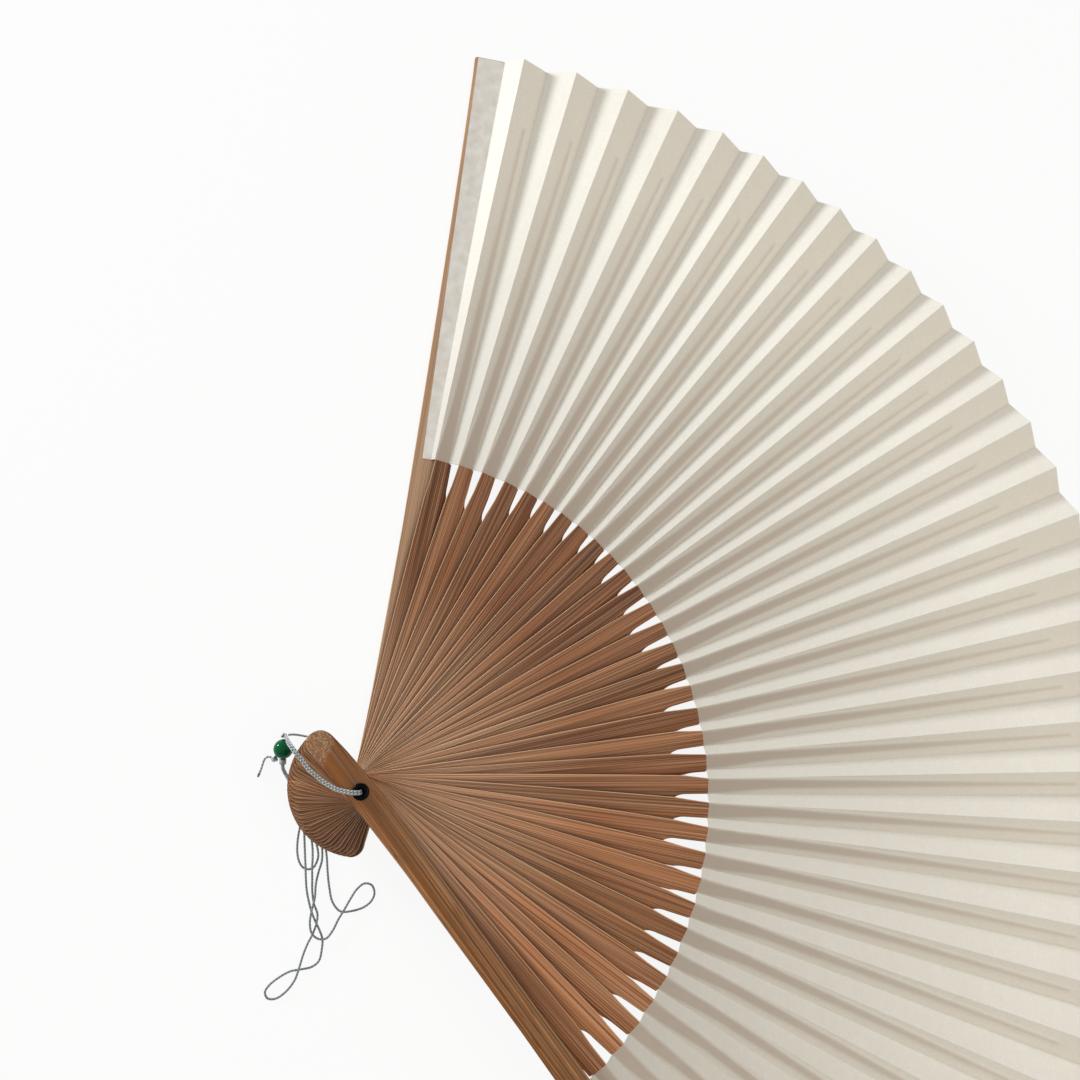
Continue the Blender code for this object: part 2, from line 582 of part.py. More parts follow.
def make_cords(pivot, material):
    """Two strands over the front guard's head, one back under the heads, and the loops of the tie."""
    apart = 0.5 * (CORD_DIAMETER + CLEARANCE)
    for name, side in (("front_strand_a", 1), ("front_strand_b", -1)):
        add_cord(name, side_by_side(FRONT_STRAND_ROUTE, side * apart), CORD_DIAMETER, material, pivot)
    add_cord("return_strand", RETURN_STRAND_ROUTE, CORD_DIAMETER, material, pivot)
    add_cord("whipped_cord", WHIPPED_ROUTE, WHIPPED_DIAMETER, material, pivot)
    add_cord("short_loop", SHORT_LOOP_ROUTE, CORD_DIAMETER, material, pivot)
    add_cord("long_loop", LONG_LOOP_ROUTE, CORD_DIAMETER, material, pivot)
    add_cord("side_loop", SIDE_LOOP_ROUTE, CORD_DIAMETER, material, pivot)
    add_cord("loose_end", TAIL_ROUTE, CORD_DIAMETER, material, pivot)
    knot = add_object("side_knot", ball_mesh("side_knot", SIDE_KNOT_RADIUS), material, pivot)
    knot.location = SIDE_KNOT_CENTRE
    knot = add_object("loop_knot", ball_mesh("loop_knot", LOOP_KNOT_RADIUS), material, pivot)
    knot.location = LOOP_KNOT_CENTRE
    last, before = Vector(TAIL_ROUTE[-1]), Vector(TAIL_ROUTE[-2])
    run = (last - before).normalized()
    tip = add_object("cord_tip", tip_mesh(), material, pivot)
    place_on_axis(tip, run, last + run * CLEARANCE)


def tip_mesh():
    """The sealed end of the cord, a short plug that is a little thicker than the cord."""
    radius = 0.55 * CORD_DIAMETER
    profile = [(0.0, 0.0), (radius, 0.0), (radius, 0.7 * TAIL_TIP_LENGTH), (0.6 * radius, TAIL_TIP_LENGTH)]
    bm = bmesh.new()
    corners = [bm.verts.new((r, 0.0, z)) for r, z in profile]
    corners.append(bm.verts.new((0.0, 0.0, TAIL_TIP_LENGTH)))
    edges = [bm.edges.new(pair) for pair in zip(corners, corners[1:])]
    bmesh.ops.spin(bm, geom=corners + edges, axis=(0, 0, 1), cent=(0, 0, 0), angle=2.0 * math.pi,
                   steps=HOLE_SIDES, use_merge=True)
    bmesh.ops.remove_doubles(bm, verts=bm.verts, dist=0.01 * TAIL_TIP_LENGTH)
    bmesh.ops.recalc_face_normals(bm, faces=bm.faces)
    mesh = bpy.data.meshes.new("cord_tip")
    bm.to_mesh(mesh)
    bm.free()
    mesh.shade_smooth()
    return mesh


def centre_on_origin(pivot, fan_pieces):
    """Move the rivet so that the fan without its cord stands centred on the origin."""
    bpy.context.view_layer.update()
    depsgraph = bpy.context.evaluated_depsgraph_get()
    corners = []
    for obj in fan_pieces:
        mesh = obj.evaluated_get(depsgraph).to_mesh()
        points = np.empty(len(mesh.vertices) * 3)
        mesh.vertices.foreach_get("co", points)
        matrix = np.array(obj.matrix_world)
        corners.append(points.reshape(-1, 3) @ matrix[:3, :3].T + matrix[:3, 3])
    points = np.concatenate(corners)
    low, high = points.min(axis=0), points.max(axis=0)
    pivot.location = (-0.5 * (low[0] + high[0]), -0.5 * (low[1] + high[1]), 0.0)


def main():
    for obj in list(bpy.data.objects):
        bpy.data.objects.remove(obj)
    bamboo = new_material("smoked_bamboo", (0.32, 0.17, 0.09), 0.55)
    pale_bamboo = new_material("guard_bamboo", (0.37, 0.2, 0.09), 0.45)
    paper = new_material("mulberry_paper", (0.86, 0.84, 0.78), 0.9)
    plastic = new_material("black_plastic", (0.012, 0.012, 0.014), 0.2)
    glass = new_material("green_glass", (0.0, 0.11, 0.035), 0.06)
    braid = new_material("braided_cord", (0.33, 0.36, 0.35), 0.65)

    pivot = bpy.data.objects.new("rivet_axis", None)
    bpy.context.collection.objects.link(pivot)
    drill = make_drill()
    make_guards(pivot, drill, pale_bamboo)
    make_ribs(pivot, drill, bamboo)
    make_leaf(pivot, paper)
    make_eyelet(pivot, plastic)
    fan_pieces = [obj for obj in pivot.children if obj.type == "MESH"]
    make_bead(pivot, glass, braid)
    make_cords(pivot, braid)
    centre_on_origin(pivot, fan_pieces)


main()
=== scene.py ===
"""Folding fan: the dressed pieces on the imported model's frame, with floor, lights and camera.

The rivet's axis is Z and the floor is at height 0. Lengths are in metres. A stick's own frame has u
running from the rivet to the rim and v to its anticlockwise side, both measured on the flat. Sticks are
numbered clockwise: 0 is the rear guard, 1 to 33 are the ribs and 34 is the front guard.
"""

import json
import math

import bmesh
import bpy
import numpy as np
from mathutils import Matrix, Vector

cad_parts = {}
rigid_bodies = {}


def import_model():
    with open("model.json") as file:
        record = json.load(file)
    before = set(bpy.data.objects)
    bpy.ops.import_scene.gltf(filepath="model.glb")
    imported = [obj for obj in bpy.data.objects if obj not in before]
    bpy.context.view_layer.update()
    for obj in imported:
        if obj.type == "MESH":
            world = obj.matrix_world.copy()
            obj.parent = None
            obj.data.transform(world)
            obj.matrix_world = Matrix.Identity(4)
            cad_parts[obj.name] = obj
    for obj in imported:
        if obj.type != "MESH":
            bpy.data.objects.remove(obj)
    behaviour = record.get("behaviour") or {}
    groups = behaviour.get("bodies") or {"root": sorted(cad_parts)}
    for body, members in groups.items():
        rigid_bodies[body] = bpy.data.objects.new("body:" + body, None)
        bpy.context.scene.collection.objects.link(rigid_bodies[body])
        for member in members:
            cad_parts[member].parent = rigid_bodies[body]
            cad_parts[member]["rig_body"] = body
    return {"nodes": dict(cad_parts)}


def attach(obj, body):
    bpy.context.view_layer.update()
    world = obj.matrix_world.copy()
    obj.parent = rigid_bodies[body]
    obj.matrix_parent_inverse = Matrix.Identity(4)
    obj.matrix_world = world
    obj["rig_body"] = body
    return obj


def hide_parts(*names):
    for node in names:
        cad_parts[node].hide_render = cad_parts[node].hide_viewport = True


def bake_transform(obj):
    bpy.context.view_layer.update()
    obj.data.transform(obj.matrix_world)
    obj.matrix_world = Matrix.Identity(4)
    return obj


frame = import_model()

bl_info = {
    "name": "Folding fan",
    "version": (1, 0, 0),
    "blender": (4, 5, 0),
    "location": "3D View > Sidebar > Fan",
    "description": "Ribs, guards, pleated leaf, eyelet, bead and cord of a folding fan, and its stage",
    "category": "Object",
}

MM = 0.001

# Sizes of the CAD model, which the pieces follow
PIVOT = np.array((0.0, -0.124493, 0.0))
RIB_COUNT = 33
OPENING = math.radians(134.3)
RIM_RADIUS = 0.2735
LEAF_RADIUS = 0.116
HEAD_LENGTH = 0.0245
STEP_SHARES = ((1, 0.92), (3, 1.09), (1, 1.015), (8, 0.94), (10, 1.0), (10, 1.03), (1, 1.15))
RIB_THICKNESS = 0.0004
CLEARANCE = 0.0003
RIB_HEAD_WIDTH = 0.0086
RIB_PIVOT_WIDTH = 0.0094
RIB_SHOULDER_WIDTH = 0.0076
SHOULDER_LENGTH = 0.013
SHOULDER_RADIUS = LEAF_RADIUS - SHOULDER_LENGTH
RIB_TAIL_WIDTH = 0.0034
RIB_TAIL_LENGTH = 0.024
RIB_TIP_WIDTH = 0.0012
RIB_TIP_DRIFT = 0.0010
TIP_RADIUS = RIM_RADIUS - 0.0255
HEAD_ROUND = 0.0044
FACET_INNER_WIDTH = 0.00524
FACET_RIM_WIDTH = 0.00928
PLEAT_INNER_HEIGHT = 0.0015
PLEAT_RIM_HEIGHT = 0.0050
FLANGE_INNER_EDGES = (-0.00015, -0.00335)
FLANGE_RIM_EDGES = (0.00465, -0.0056)
GUARD_THICKNESS = 0.0030
GUARD_HEAD_THICKNESS = 0.0012
GUARD_RELIEF = (0.026, 0.050)
GUARD_PLACES = (-HEAD_LENGTH, 0.0, 0.030, 0.090, 0.2735)
GUARD_WIDTHS = (0.0086, 0.0094, 0.0083, 0.0080, 0.0124)
GUARD_OVERHANG = 0.0003
GUARD_TIP_ROUND = 0.0012
REAR_GUARD_BOW = -0.0013
FRONT_GUARD_BOW = 0.0006
REAR_HEAD_BEND = 0.0020
FRONT_HEAD_BEND = -REAR_HEAD_BEND
STICK_HOLE_RADIUS = 0.0021
BARREL_RADIUS = 0.0018
EYELET_BORE_RADIUS = 0.0013
FLANGE_RADIUS = 0.00275
BEAD_RADIUS = 0.00335
BEAD_BORE_RADIUS = 0.0006
BEAD_CENTRE = np.array((-0.0187, -0.0242, 0.0034))
BEAD_AXIS = np.array((0.932, -0.286, -0.224)) / np.linalg.norm((0.932, -0.286, -0.224))
TOP_KNOT_RADIUS = 0.0011
COLLAR_RADIUS = 0.0012
COLLAR_LENGTH = 0.0016
SIDE_KNOT_RADIUS = 0.0012
SIDE_KNOT_CENTRE = np.array((-0.0161, -0.0280, 0.0014))
LOOP_KNOT_RADIUS = 0.0022
LOOP_KNOT_CENTRE = np.array((0.0049, -0.0205, 0.0023))
CORD_DIAMETER = 0.00075
WHIPPED_DIAMETER = 0.0013
TAIL_TIP_LENGTH = 0.0016
# How the ribs narrow outside the leaf. GAP_STARTS are the radii in millimetres at which the gap on each
# stick's clockwise side opens, from the rear guard on. The notch there eases out over its length, and the
# gap then widens evenly. The other side leans in from LEAN_START or the gap there. NECK_EXTRA is how much
# wider than the facet, on each side, a rib still is where it goes into the leaf. The bare strip beside the
# next stick widens with the distance from the rivet, and is counted as no narrower than at BARE_FROM.
GAP_STARTS = (
    102.0, 104.5, 102.0, 99.9, 106.2, 108.7, 106.6, 108.3, 108.6, 109.9, 106.5, 108.3, 105.9, 104.5, 105.3,
    108.0, 108.0, 105.3, 108.7, 104.5, 108.9, 105.1, 104.8, 102.0, 107.1, 107.5, 104.2, 103.9, 103.9, 108.1,
    105.0, 106.5, 104.0, 106.0,
)
LEAN_START = 0.102
BARE_FROM = 0.004
NOTCH_LEAD = 0.0008
NOTCH_LENGTH = 0.0045
GAP_WIDTH = 0.0010
GAP_SPREAD = 0.16
NECK_EXTRA = 0.00012
# How far a rib's tail keeps from the folds where it goes into the leaf, and how much more 6 mm further in
FOLD_PLAY = 0.0002
FOLD_PLAY_INSIDE = 0.0003
PASTE_THICKNESS = 0.00002
EYELET_RING_THICKNESS = 0.0005
EYELET_LIP_HEIGHT = 0.0005
EYELET_LIP_BASE = 0.0002
EYELET_EDGE_ROUND = 0.0002

STACK_STEP = RIB_THICKNESS + CLEARANCE
RIB_BASE = GUARD_THICKNESS + CLEARANCE
FRONT_BASE = RIB_BASE + RIB_COUNT * STACK_STEP
FRONT_FACE = FRONT_BASE + GUARD_HEAD_THICKNESS
REAR_RELIEF = GUARD_THICKNESS - GUARD_HEAD_THICKNESS
GUARD_ROUND_START = RIM_RADIUS + GUARD_OVERHANG - GUARD_TIP_ROUND
BEAD_TO_KNOT = BEAD_RADIUS * math.cos(math.asin(BEAD_BORE_RADIUS / BEAD_RADIUS)) + CLEARANCE

# Corners of a rib's section: the side, how many edge radii inside it, and the share of the thickness
RIB_SECTION = np.array((
    (-1, 1, 0), (-0.33, 0, 0), (0.33, 0, 0), (1, 1, 0), (1, 0.3, 0.15), (1, 0, 0.4), (1, 0, 0.6),
    (1, 0.3, 0.85), (1, 1, 1), (0.5, 0, 1), (0, 0, 1), (-0.5, 0, 1), (-1, 1, 1), (-1, 0.3, 0.85),
    (-1, 0, 0.6), (-1, 0, 0.4), (-1, 0.3, 0.15),
))

# The camera stands where the photograph was taken from. A lamp has its direction from the origin and its
# tilt from straight up in degrees, its distance, width, power in watts and tint.
CAMERA_PLACE = (-0.027496, -0.094203, 0.375556)
CAMERA_TURN = (7.82553, -5.75015, 75.80508)
CAMERA_LENS = 35.0
SENSOR_WIDTH = 36.0
LAMPS = (
    ("key light", 225.0, 79.5, 1.1, 0.20, 7.6, (0.97, 1.0, 1.03)),
    ("softbox", 60.0, 25.0, 1.0, 0.9, 3.0, (1.0, 0.97, 0.93)),
)
WORLD_TINT = (1.0, 0.98, 0.94, 1.0)
WORLD_STRENGTH = 0.46
FLOOR_REACH = 1.6
FLOOR_DROP = 0.00002
FLOOR_OWN_LIGHT = 0.90

# The cords' routes, as in the CAD model: points from the rivet's axis at the floor's height
FRONT_STRAND_ROUTE = (
    (0.0001, 0.0001, 0.0268), (0.0001, -0.0003, 0.0284), (-0.0002, -0.0013, 0.0294),
    (-0.0006, -0.0026, 0.0297), (-0.0014, -0.0044, 0.0295), (-0.0029, -0.0072, 0.0291),
    (-0.0046, -0.0091, 0.0288), (-0.0065, -0.0109, 0.0286), (-0.0085, -0.0124, 0.0285),
    (-0.0105, -0.0139, 0.0285), (-0.0138, -0.0154, 0.0285), (-0.0171, -0.0170, 0.0285),
    (-0.0188, -0.0178, 0.0282), (-0.0203, -0.0186, 0.0268), (-0.0212, -0.0193, 0.0238),
    (-0.0217, -0.0200, 0.0192), (-0.0221, -0.0208, 0.0146), (-0.0225, -0.0216, 0.0100),
    (-0.0228, -0.0223, 0.0062),
)
RETURN_STRAND_ROUTE = (
    (-0.0229, -0.0214, 0.0040), (-0.0227, -0.0203, 0.0028), (-0.0222, -0.0190, 0.0017),
    (-0.0214, -0.0173, 0.0008), (-0.0200, -0.0146, 0.0004), (-0.0174, -0.0106, 0.0004),
    (-0.0145, -0.0083, 0.0004), (-0.0111, -0.0066, 0.0004), (-0.0080, -0.0051, 0.0004),
    (-0.0048, -0.0036, 0.0004), (-0.0020, -0.0019, 0.0004), (-0.0005, -0.0006, 0.0006),
    (0.0001, -0.0001, 0.0014), (0.0002, 0.0001, 0.0026),
)
WHIPPED_ROUTE = (
    (-0.0135, -0.0258, 0.0021), (-0.0123, -0.0260, 0.0016), (-0.0104, -0.0257, 0.0010),
    (-0.0073, -0.0247, 0.0007), (-0.0036, -0.0233, 0.0008), (-0.0003, -0.0221, 0.0014),
    (0.0022, -0.0213, 0.0019),
)
TAIL_ROUTE = (
    (-0.0169, -0.0292, 0.0008), (-0.0173, -0.0300, 0.0005), (-0.0172, -0.0310, 0.0004),
    (-0.0163, -0.0319, 0.0004), (-0.0150, -0.0327, 0.0004), (-0.0138, -0.0334, 0.0004),
    (-0.0128, -0.0341, 0.0004),
)
SHORT_LOOP_ROUTE = (
    (0.0047, -0.0231, 0.0012), (0.0075, -0.0244, 0.0006), (0.0105, -0.0258, 0.0004),
    (0.0133, -0.0268, 0.0004), (0.0162, -0.0275, 0.0004), (0.0193, -0.0276, 0.0004),
    (0.0215, -0.0269, 0.0004), (0.0227, -0.0254, 0.0004), (0.0227, -0.0235, 0.0004),
    (0.0213, -0.0220, 0.0004), (0.0194, -0.0210, 0.0004), (0.0169, -0.0207, 0.0004),
    (0.0139, -0.0208, 0.0004), (0.0105, -0.0208, 0.0006), (0.0076, -0.0207, 0.0012),
)
LONG_LOOP_ROUTE = (
    (0.0063, -0.0229, 0.0012), (0.0091, -0.0236, 0.0006), (0.0123, -0.0242, 0.0004),
    (0.0156, -0.0248, 0.0004), (0.0188, -0.0253, 0.0010), (0.0220, -0.0258, 0.0015),
    (0.0253, -0.0265, 0.0010), (0.0296, -0.0272, 0.0004), (0.0336, -0.0273, 0.0004),
    (0.0371, -0.0271, 0.0004), (0.0401, -0.0266, 0.0004), (0.0432, -0.0259, 0.0004),
    (0.0463, -0.0256, 0.0004), (0.0497, -0.0266, 0.0004), (0.0529, -0.0283, 0.0004),
    (0.0541, -0.0310, 0.0004), (0.0539, -0.0347, 0.0004), (0.0536, -0.0382, 0.0004),
    (0.0545, -0.0421, 0.0004), (0.0560, -0.0456, 0.0004), (0.0578, -0.0475, 0.0004),
    (0.0599, -0.0472, 0.0004), (0.0608, -0.0449, 0.0004), (0.0597, -0.0412, 0.0005),
    (0.0566, -0.0372, 0.0012), (0.0535, -0.0351, 0.0015), (0.0495, -0.0328, 0.0010),
    (0.0465, -0.0307, 0.0004), (0.0441, -0.0286, 0.0005), (0.0409, -0.0264, 0.0015),
    (0.0378, -0.0253, 0.0011), (0.0344, -0.0258, 0.0004), (0.0304, -0.0255, 0.0004),
    (0.0261, -0.0245, 0.0010), (0.0226, -0.0237, 0.0015), (0.0191, -0.0228, 0.0010),
    (0.0156, -0.0222, 0.0004), (0.0112, -0.0219, 0.0006), (0.0075, -0.0219, 0.0012),
)
SIDE_LOOP_ROUTE = (
    (0.0063, -0.0182, 0.0012), (0.0096, -0.0177, 0.0006), (0.0136, -0.0177, 0.0004),
    (0.0174, -0.0180, 0.0004), (0.0211, -0.0184, 0.0004), (0.0253, -0.0191, 0.0004),
    (0.0306, -0.0197, 0.0004), (0.0354, -0.0197, 0.0004), (0.0390, -0.0179, 0.0004),
    (0.0400, -0.0140, 0.0004), (0.0398, -0.0099, 0.0004), (0.0384, -0.0069, 0.0004),
    (0.0361, -0.0054, 0.0004), (0.0334, -0.0058, 0.0004), (0.0323, -0.0080, 0.0004),
    (0.0334, -0.0108, 0.0006), (0.0359, -0.0136, 0.0011), (0.0387, -0.0163, 0.0015),
    (0.0415, -0.0191, 0.0012), (0.0442, -0.0214, 0.0011), (0.0462, -0.0242, 0.0015),
    (0.0456, -0.0268, 0.0015), (0.0432, -0.0284, 0.0018), (0.0399, -0.0283, 0.0016),
    (0.0362, -0.0269, 0.0015), (0.0324, -0.0250, 0.0013), (0.0281, -0.0237, 0.0009),
    (0.0245, -0.0220, 0.0004), (0.0213, -0.0202, 0.0004), (0.0178, -0.0193, 0.0004),
    (0.0137, -0.0191, 0.0004), (0.0102, -0.0192, 0.0006), (0.0076, -0.0194, 0.0012),
)


# Settings


def linear(hex_colour):
    """An sRGB hex colour as linear red, green and blue."""
    parts = np.array([int(hex_colour[i:i + 2], 16) / 255.0 for i in (1, 3, 5)])
    return tuple(np.where(parts <= 0.04045, parts / 12.92, ((parts + 0.055) / 1.055) ** 2.4))


def colour_setting(name, description, hex_colour):
    """A colour property with an sRGB hex colour as its default."""
    return bpy.props.FloatVectorProperty(name=name, description=description, subtype="COLOR", size=3,
                                         min=0.0, max=1.0, default=linear(hex_colour))


def length_setting(name, description, metres):
    """A length property."""
    return bpy.props.FloatProperty(name=name, description=description, unit="LENGTH", subtype="DISTANCE",
                                   min=0.0, precision=5, default=metres)


class FanSizes(bpy.types.PropertyGroup):
    """Sizes of the fan that may be changed without leaving the CAD model's shape."""
    rib_edge: length_setting("Rib edge", "Radius of the rounded long edges of a rib", 0.00012)
    guard_edge: length_setting("Guard edge", "Radius of the rounded outer edges of a guard", 0.0008)
    paper_thickness: length_setting("Paper thickness", "Thickness of the two plies where no rib is", 0.00018)
    paper_over_rib: length_setting("Paper over rib", "Thickness of the leaf where a rib is inside", 0.0006)
    bedding: length_setting("Bedding", "Width over which the paper sinks beside a rib", 0.0009)
    cord_diameter: length_setting("Cord diameter", "Diameter of the braided cord", CORD_DIAMETER)


class FanColours(bpy.types.PropertyGroup):
    """Colours of the fan and of its stage."""
    bamboo_light: colour_setting("Light bamboo", "Lightest fibres of the ribs", "#AB7048")
    bamboo_mid: colour_setting("Bamboo", "Most of the ribs", "#7C4623")
    bamboo_dark: colour_setting("Dark bamboo", "Darkest fibres of the ribs", "#572F19")
    bamboo_grey: colour_setting("Weathered bamboo", "The ribs that are greyer than the rest", "#7C5431")
    # Painted shade on a rib beside the next stick and on the heads deep in the stack
    bamboo_shade: colour_setting("Painted bamboo shade", "The part of a rib beside the next one", "#4A240E")
    # Pale bamboo of the fibres and the node's dots, also painted along a stick's bare edge as a highlight
    pale_bamboo_and_highlight: colour_setting("Pale bamboo and edge highlight", "The pale long edge of a rib", "#E6BE96")
    inner_light: colour_setting("Light rear guard", "Lightest fibres of the rear guard", "#BE9B7E")
    inner_dark: colour_setting("Rear guard", "Most of the rear guard", "#A78366")
    guard_light: colour_setting("Light front guard", "Lightest fibres of the front guard", "#8B5523")
    guard_mid: colour_setting("Front guard", "Most of the front guard", "#71411A")
    ruddy: colour_setting("Ruddy patch", "Patch on the front guard's head", "#90541C")
    guard_dark: colour_setting("Dark front guard", "Streaks of the front guard", "#5E381C")
    paper_white: colour_setting("Paper", "The leaf where it is clean", "#F6F2E8")
    # Also painted on the facets with a rib: partly the rib showing through, partly painted shade on facets
    # that face away from the light
    paper_cream: colour_setting("Cream paper", "The leaf where paste has aged it", "#F1EADC")
    rib_shade: colour_setting("Rib shade", "The leaf where a rib shows through", "#C9B7A6")
    valley_shade_grey: colour_setting("Valley shade grey", "The leaf down in its valley folds", "#A39C92")
    # Painted shade in the valley folds, also used to paint the leaf greyer towards its inner edge
    flange_paper: colour_setting("Pasted paper", "The leaf where it is pasted on the guard", "#E6E4DE")
    # Painted highlight on the raised strands, and painted shade in the hollows between them
    cord_highlight: colour_setting("Light cord", "Raised strands of the cord", "#D4DADA")
    loop_highlight: colour_setting("Loop cord", "Raised strands of the loops", "#98A1A2")
    cord_hollow_shade: colour_setting("Dark cord", "Hollows between the cord's strands", "#636B6B")
    bead_green: colour_setting("Bead", "Glass of the bead", "#005A33")
    bead_swirl: colour_setting("Bead's swirls", "Paler swirls in the bead's glass", "#3FA073")
    eyelet_black: colour_setting("Eyelet", "Plastic of the eyelet", "#060607")
    floor: colour_setting("Floor", "The surface that the fan lies on", "#F4F4F2")


# Shapes of the sticks and folds


def smooth(x):
    """An S-curve that goes from 0 to 1 as x does, level at both ends."""
    x = np.clip(x, 0.0, 1.0)
    return x * x * (3.0 - 2.0 * x)


def leaf_share(u):
    """How far u is from the leaf's inner edge, 0, to the rim, 1; it goes below 0 inside the edge."""
    return (u - LEAF_RADIUS) / (RIM_RADIUS - LEAF_RADIUS)


def pleat_height(u):
    """Height of the mountain folds over the valley folds: a straight line, and nothing near the rivet."""
    return np.maximum(0.0, PLEAT_INNER_HEIGHT + (PLEAT_RIM_HEIGHT - PLEAT_INNER_HEIGHT) * leaf_share(u))


def facet_half(u):
    """Half the width of a ribbed facet, whose folds are straight lines."""
    return 0.5 * (FACET_INNER_WIDTH + (FACET_RIM_WIDTH - FACET_INNER_WIDTH) * leaf_share(u))


def stick_angles():
    """The direction of each stick's u axis, from the shares that its joints have of the opening."""
    shares = np.repeat([share for _, share in STEP_SHARES], [count for count, _ in STEP_SHARES])
    return 0.5 * (math.pi + OPENING) - np.concatenate([[0.0], np.cumsum(OPENING * shares / shares.sum())])


STICK_ANGLES = stick_angles()


def stick_name(index):
    """The body, and the CAD node, of a stick."""
    return {0: "rear_guard", RIB_COUNT + 1: "front_guard"}.get(index, f"rib_{index:02d}")


def stick_base(index):
    """Height of a stick's underside at the rivet."""
    return RIB_BASE + (index - 1) * STACK_STEP


def in_fan(index, u, v, z):
    """Points in the fan's frame for places in a stick's own frame: turned about the rivet by its angle."""
    cos, sin = math.cos(STICK_ANGLES[index]), math.sin(STICK_ANGLES[index])
    u, v, z = np.broadcast_arrays(u, v, z)
    return np.stack([u * cos - v * sin, u * sin + v * cos, z], axis=-1) + PIVOT


def on_stick(index, points):
    """The places u and v in a stick's own frame of points in the fan's frame: the turn undone."""
    cos, sin = math.cos(STICK_ANGLES[index]), math.sin(STICK_ANGLES[index])
    x, y = points[..., 0] - PIVOT[0], points[..., 1] - PIVOT[1]
    return x * cos + y * sin, y * cos - x * sin


def head_round(u):
    """Share of the full width that is left on the rounded end of the head: a quarter of an ellipse."""
    return np.sqrt(np.clip(1.0 - (1.0 - np.minimum(1.0, (u + HEAD_LENGTH) / HEAD_ROUND)) ** 2, 0.0, 1.0))


def head_places(count):
    """Places along a head's rounded end, closer together towards the tip, as on a circle."""
    return -HEAD_LENGTH + HEAD_ROUND * (1.0 - np.cos(np.linspace(0.12, 0.5 * math.pi, count)))


def blade_half(u):
    """Half the width of a rib from its head to its shoulder: it narrows with the square of the distance."""
    head = 0.5 * (RIB_HEAD_WIDTH + (RIB_PIVOT_WIDTH - RIB_HEAD_WIDTH) * (1.0 + u / HEAD_LENGTH))
    blade = 0.5 * (RIB_PIVOT_WIDTH + (RIB_SHOULDER_WIDTH - RIB_PIVOT_WIDTH) * (u / SHOULDER_RADIUS) ** 2)
    return np.where(u < 0.0, head * head_round(u), blade)


def tail_half(u):
    """Half the width of a rib inside the leaf: two straight tapers."""
    places = (LEAF_RADIUS, LEAF_RADIUS + RIB_TAIL_LENGTH, TIP_RADIUS)
    return 0.5 * np.interp(u, places, (FACET_INNER_WIDTH, RIB_TAIL_WIDTH, RIB_TIP_WIDTH))


def rib_drift(u, index):
    """How far a rib's middle leaves the stick's axis on its anticlockwise side. The leaf pulls the necks of
    the first and the last ribs clockwise. Inside the leaf the tail comes back, goes its own way by up to
    0.8 mm, and ends a little clockwise of that."""
    neck = MM * np.interp(index, (1, 9, 14, 22, 26), (-0.6, -0.6, 0.0, 0.0, -0.45))
    tail = MM * np.interp(index, (11, 15), (-0.3, 0.8))
    into = smooth((u - LEAF_RADIUS) / 0.025)
    pulled = neck * np.interp(u, (0.0, 0.054, 0.108, LEAF_RADIUS), (0.0, 0.25, 1.0, 0.4)) * (1.0 - into)
    share = np.maximum(0.0, (u - LEAF_RADIUS) / (TIP_RADIUS - LEAF_RADIUS))
    return pulled + tail * into - RIB_TIP_DRIFT * share


def lean_in(u, index):
    """The anticlockwise edge of a rib's neck from its middle: a straight line from just before the gap on
    that side to the leaf."""
    start = max(LEAN_START, MM * (GAP_STARTS[index - 1] - 1.0))
    inner = 0.5 * FACET_INNER_WIDTH + NECK_EXTRA
    return blade_half(u) + (inner - blade_half(u)) * np.clip((u - start) / (LEAF_RADIUS - start), 0.0, 1.0)


def rib_edges(u, index):
    """A rib's anticlockwise and clockwise edges at u. The first runs in straight to the leaf. The second
    keeps the blade's width up to a notch, whose depth leaves a gap beside the next rib that has the right
    width at the leaf."""
    start = MM * GAP_STARTS[index]
    step = STICK_ANGLES[index] - STICK_ANGLES[index + 1]
    next_high = 0.5 * FACET_INNER_WIDTH + NECK_EXTRA + rib_drift(LEAF_RADIUS, min(index + 1, RIB_COUNT))
    wide = GAP_WIDTH + GAP_SPREAD * (LEAF_RADIUS - 0.001 - start)
    neck = LEAF_RADIUS * step - next_high - wide + rib_drift(LEAF_RADIUS, index)
    share = np.clip((u - start + NOTCH_LEAD) / NOTCH_LENGTH, 0.0, 1.0)
    low = blade_half(u) + (neck - blade_half(u)) * (1.0 - (1.0 - share) ** 2.5)
    outside, drift = u < LEAF_RADIUS - 0.0002, rib_drift(u, index)
    fold = facet_half(u) - FOLD_PLAY - FOLD_PLAY_INSIDE * smooth((u - LEAF_RADIUS) / 0.006)
    low = np.where(outside, drift - low, np.maximum(drift - tail_half(u), -fold))
    high = np.where(outside, drift + lean_in(u, index), np.minimum(drift + tail_half(u), fold))
    return high, low


def guard_half(u):
    """Half a guard's width: straight between the head, the rivet, the neck, the waist and the rim, and
    rounded off at both ends."""
    half = 0.5 * np.interp(u, GUARD_PLACES, GUARD_WIDTHS) * head_round(u)
    past = np.clip((u - GUARD_ROUND_START) / GUARD_TIP_ROUND, 0.0, 1.0)
    return half - GUARD_TIP_ROUND * (1.0 - np.sqrt(1.0 - past ** 2))


def guard_bow(u, full_bow, head_bend):
    """How far a guard's middle leaves its axis. Soon after the rivet it reaches the full bow, and the head
    bends with the square of the distance. The guards are one pattern, and the rear one is turned over, so
    their heads bend to opposite sides."""
    share = np.minimum(1.0, np.maximum(0.0, u) / RIM_RADIUS)
    blade = full_bow * np.sqrt(np.maximum(0.0, np.sin(math.pi * share)))
    return np.where(u < 0.0, head_bend * (u / HEAD_LENGTH) ** 2, blade)


def guard_edges(u, full_bow, head_bend):
    """A guard's anticlockwise and clockwise edges at u."""
    middle = guard_bow(u, full_bow, head_bend)
    return middle + guard_half(u), middle - guard_half(u)


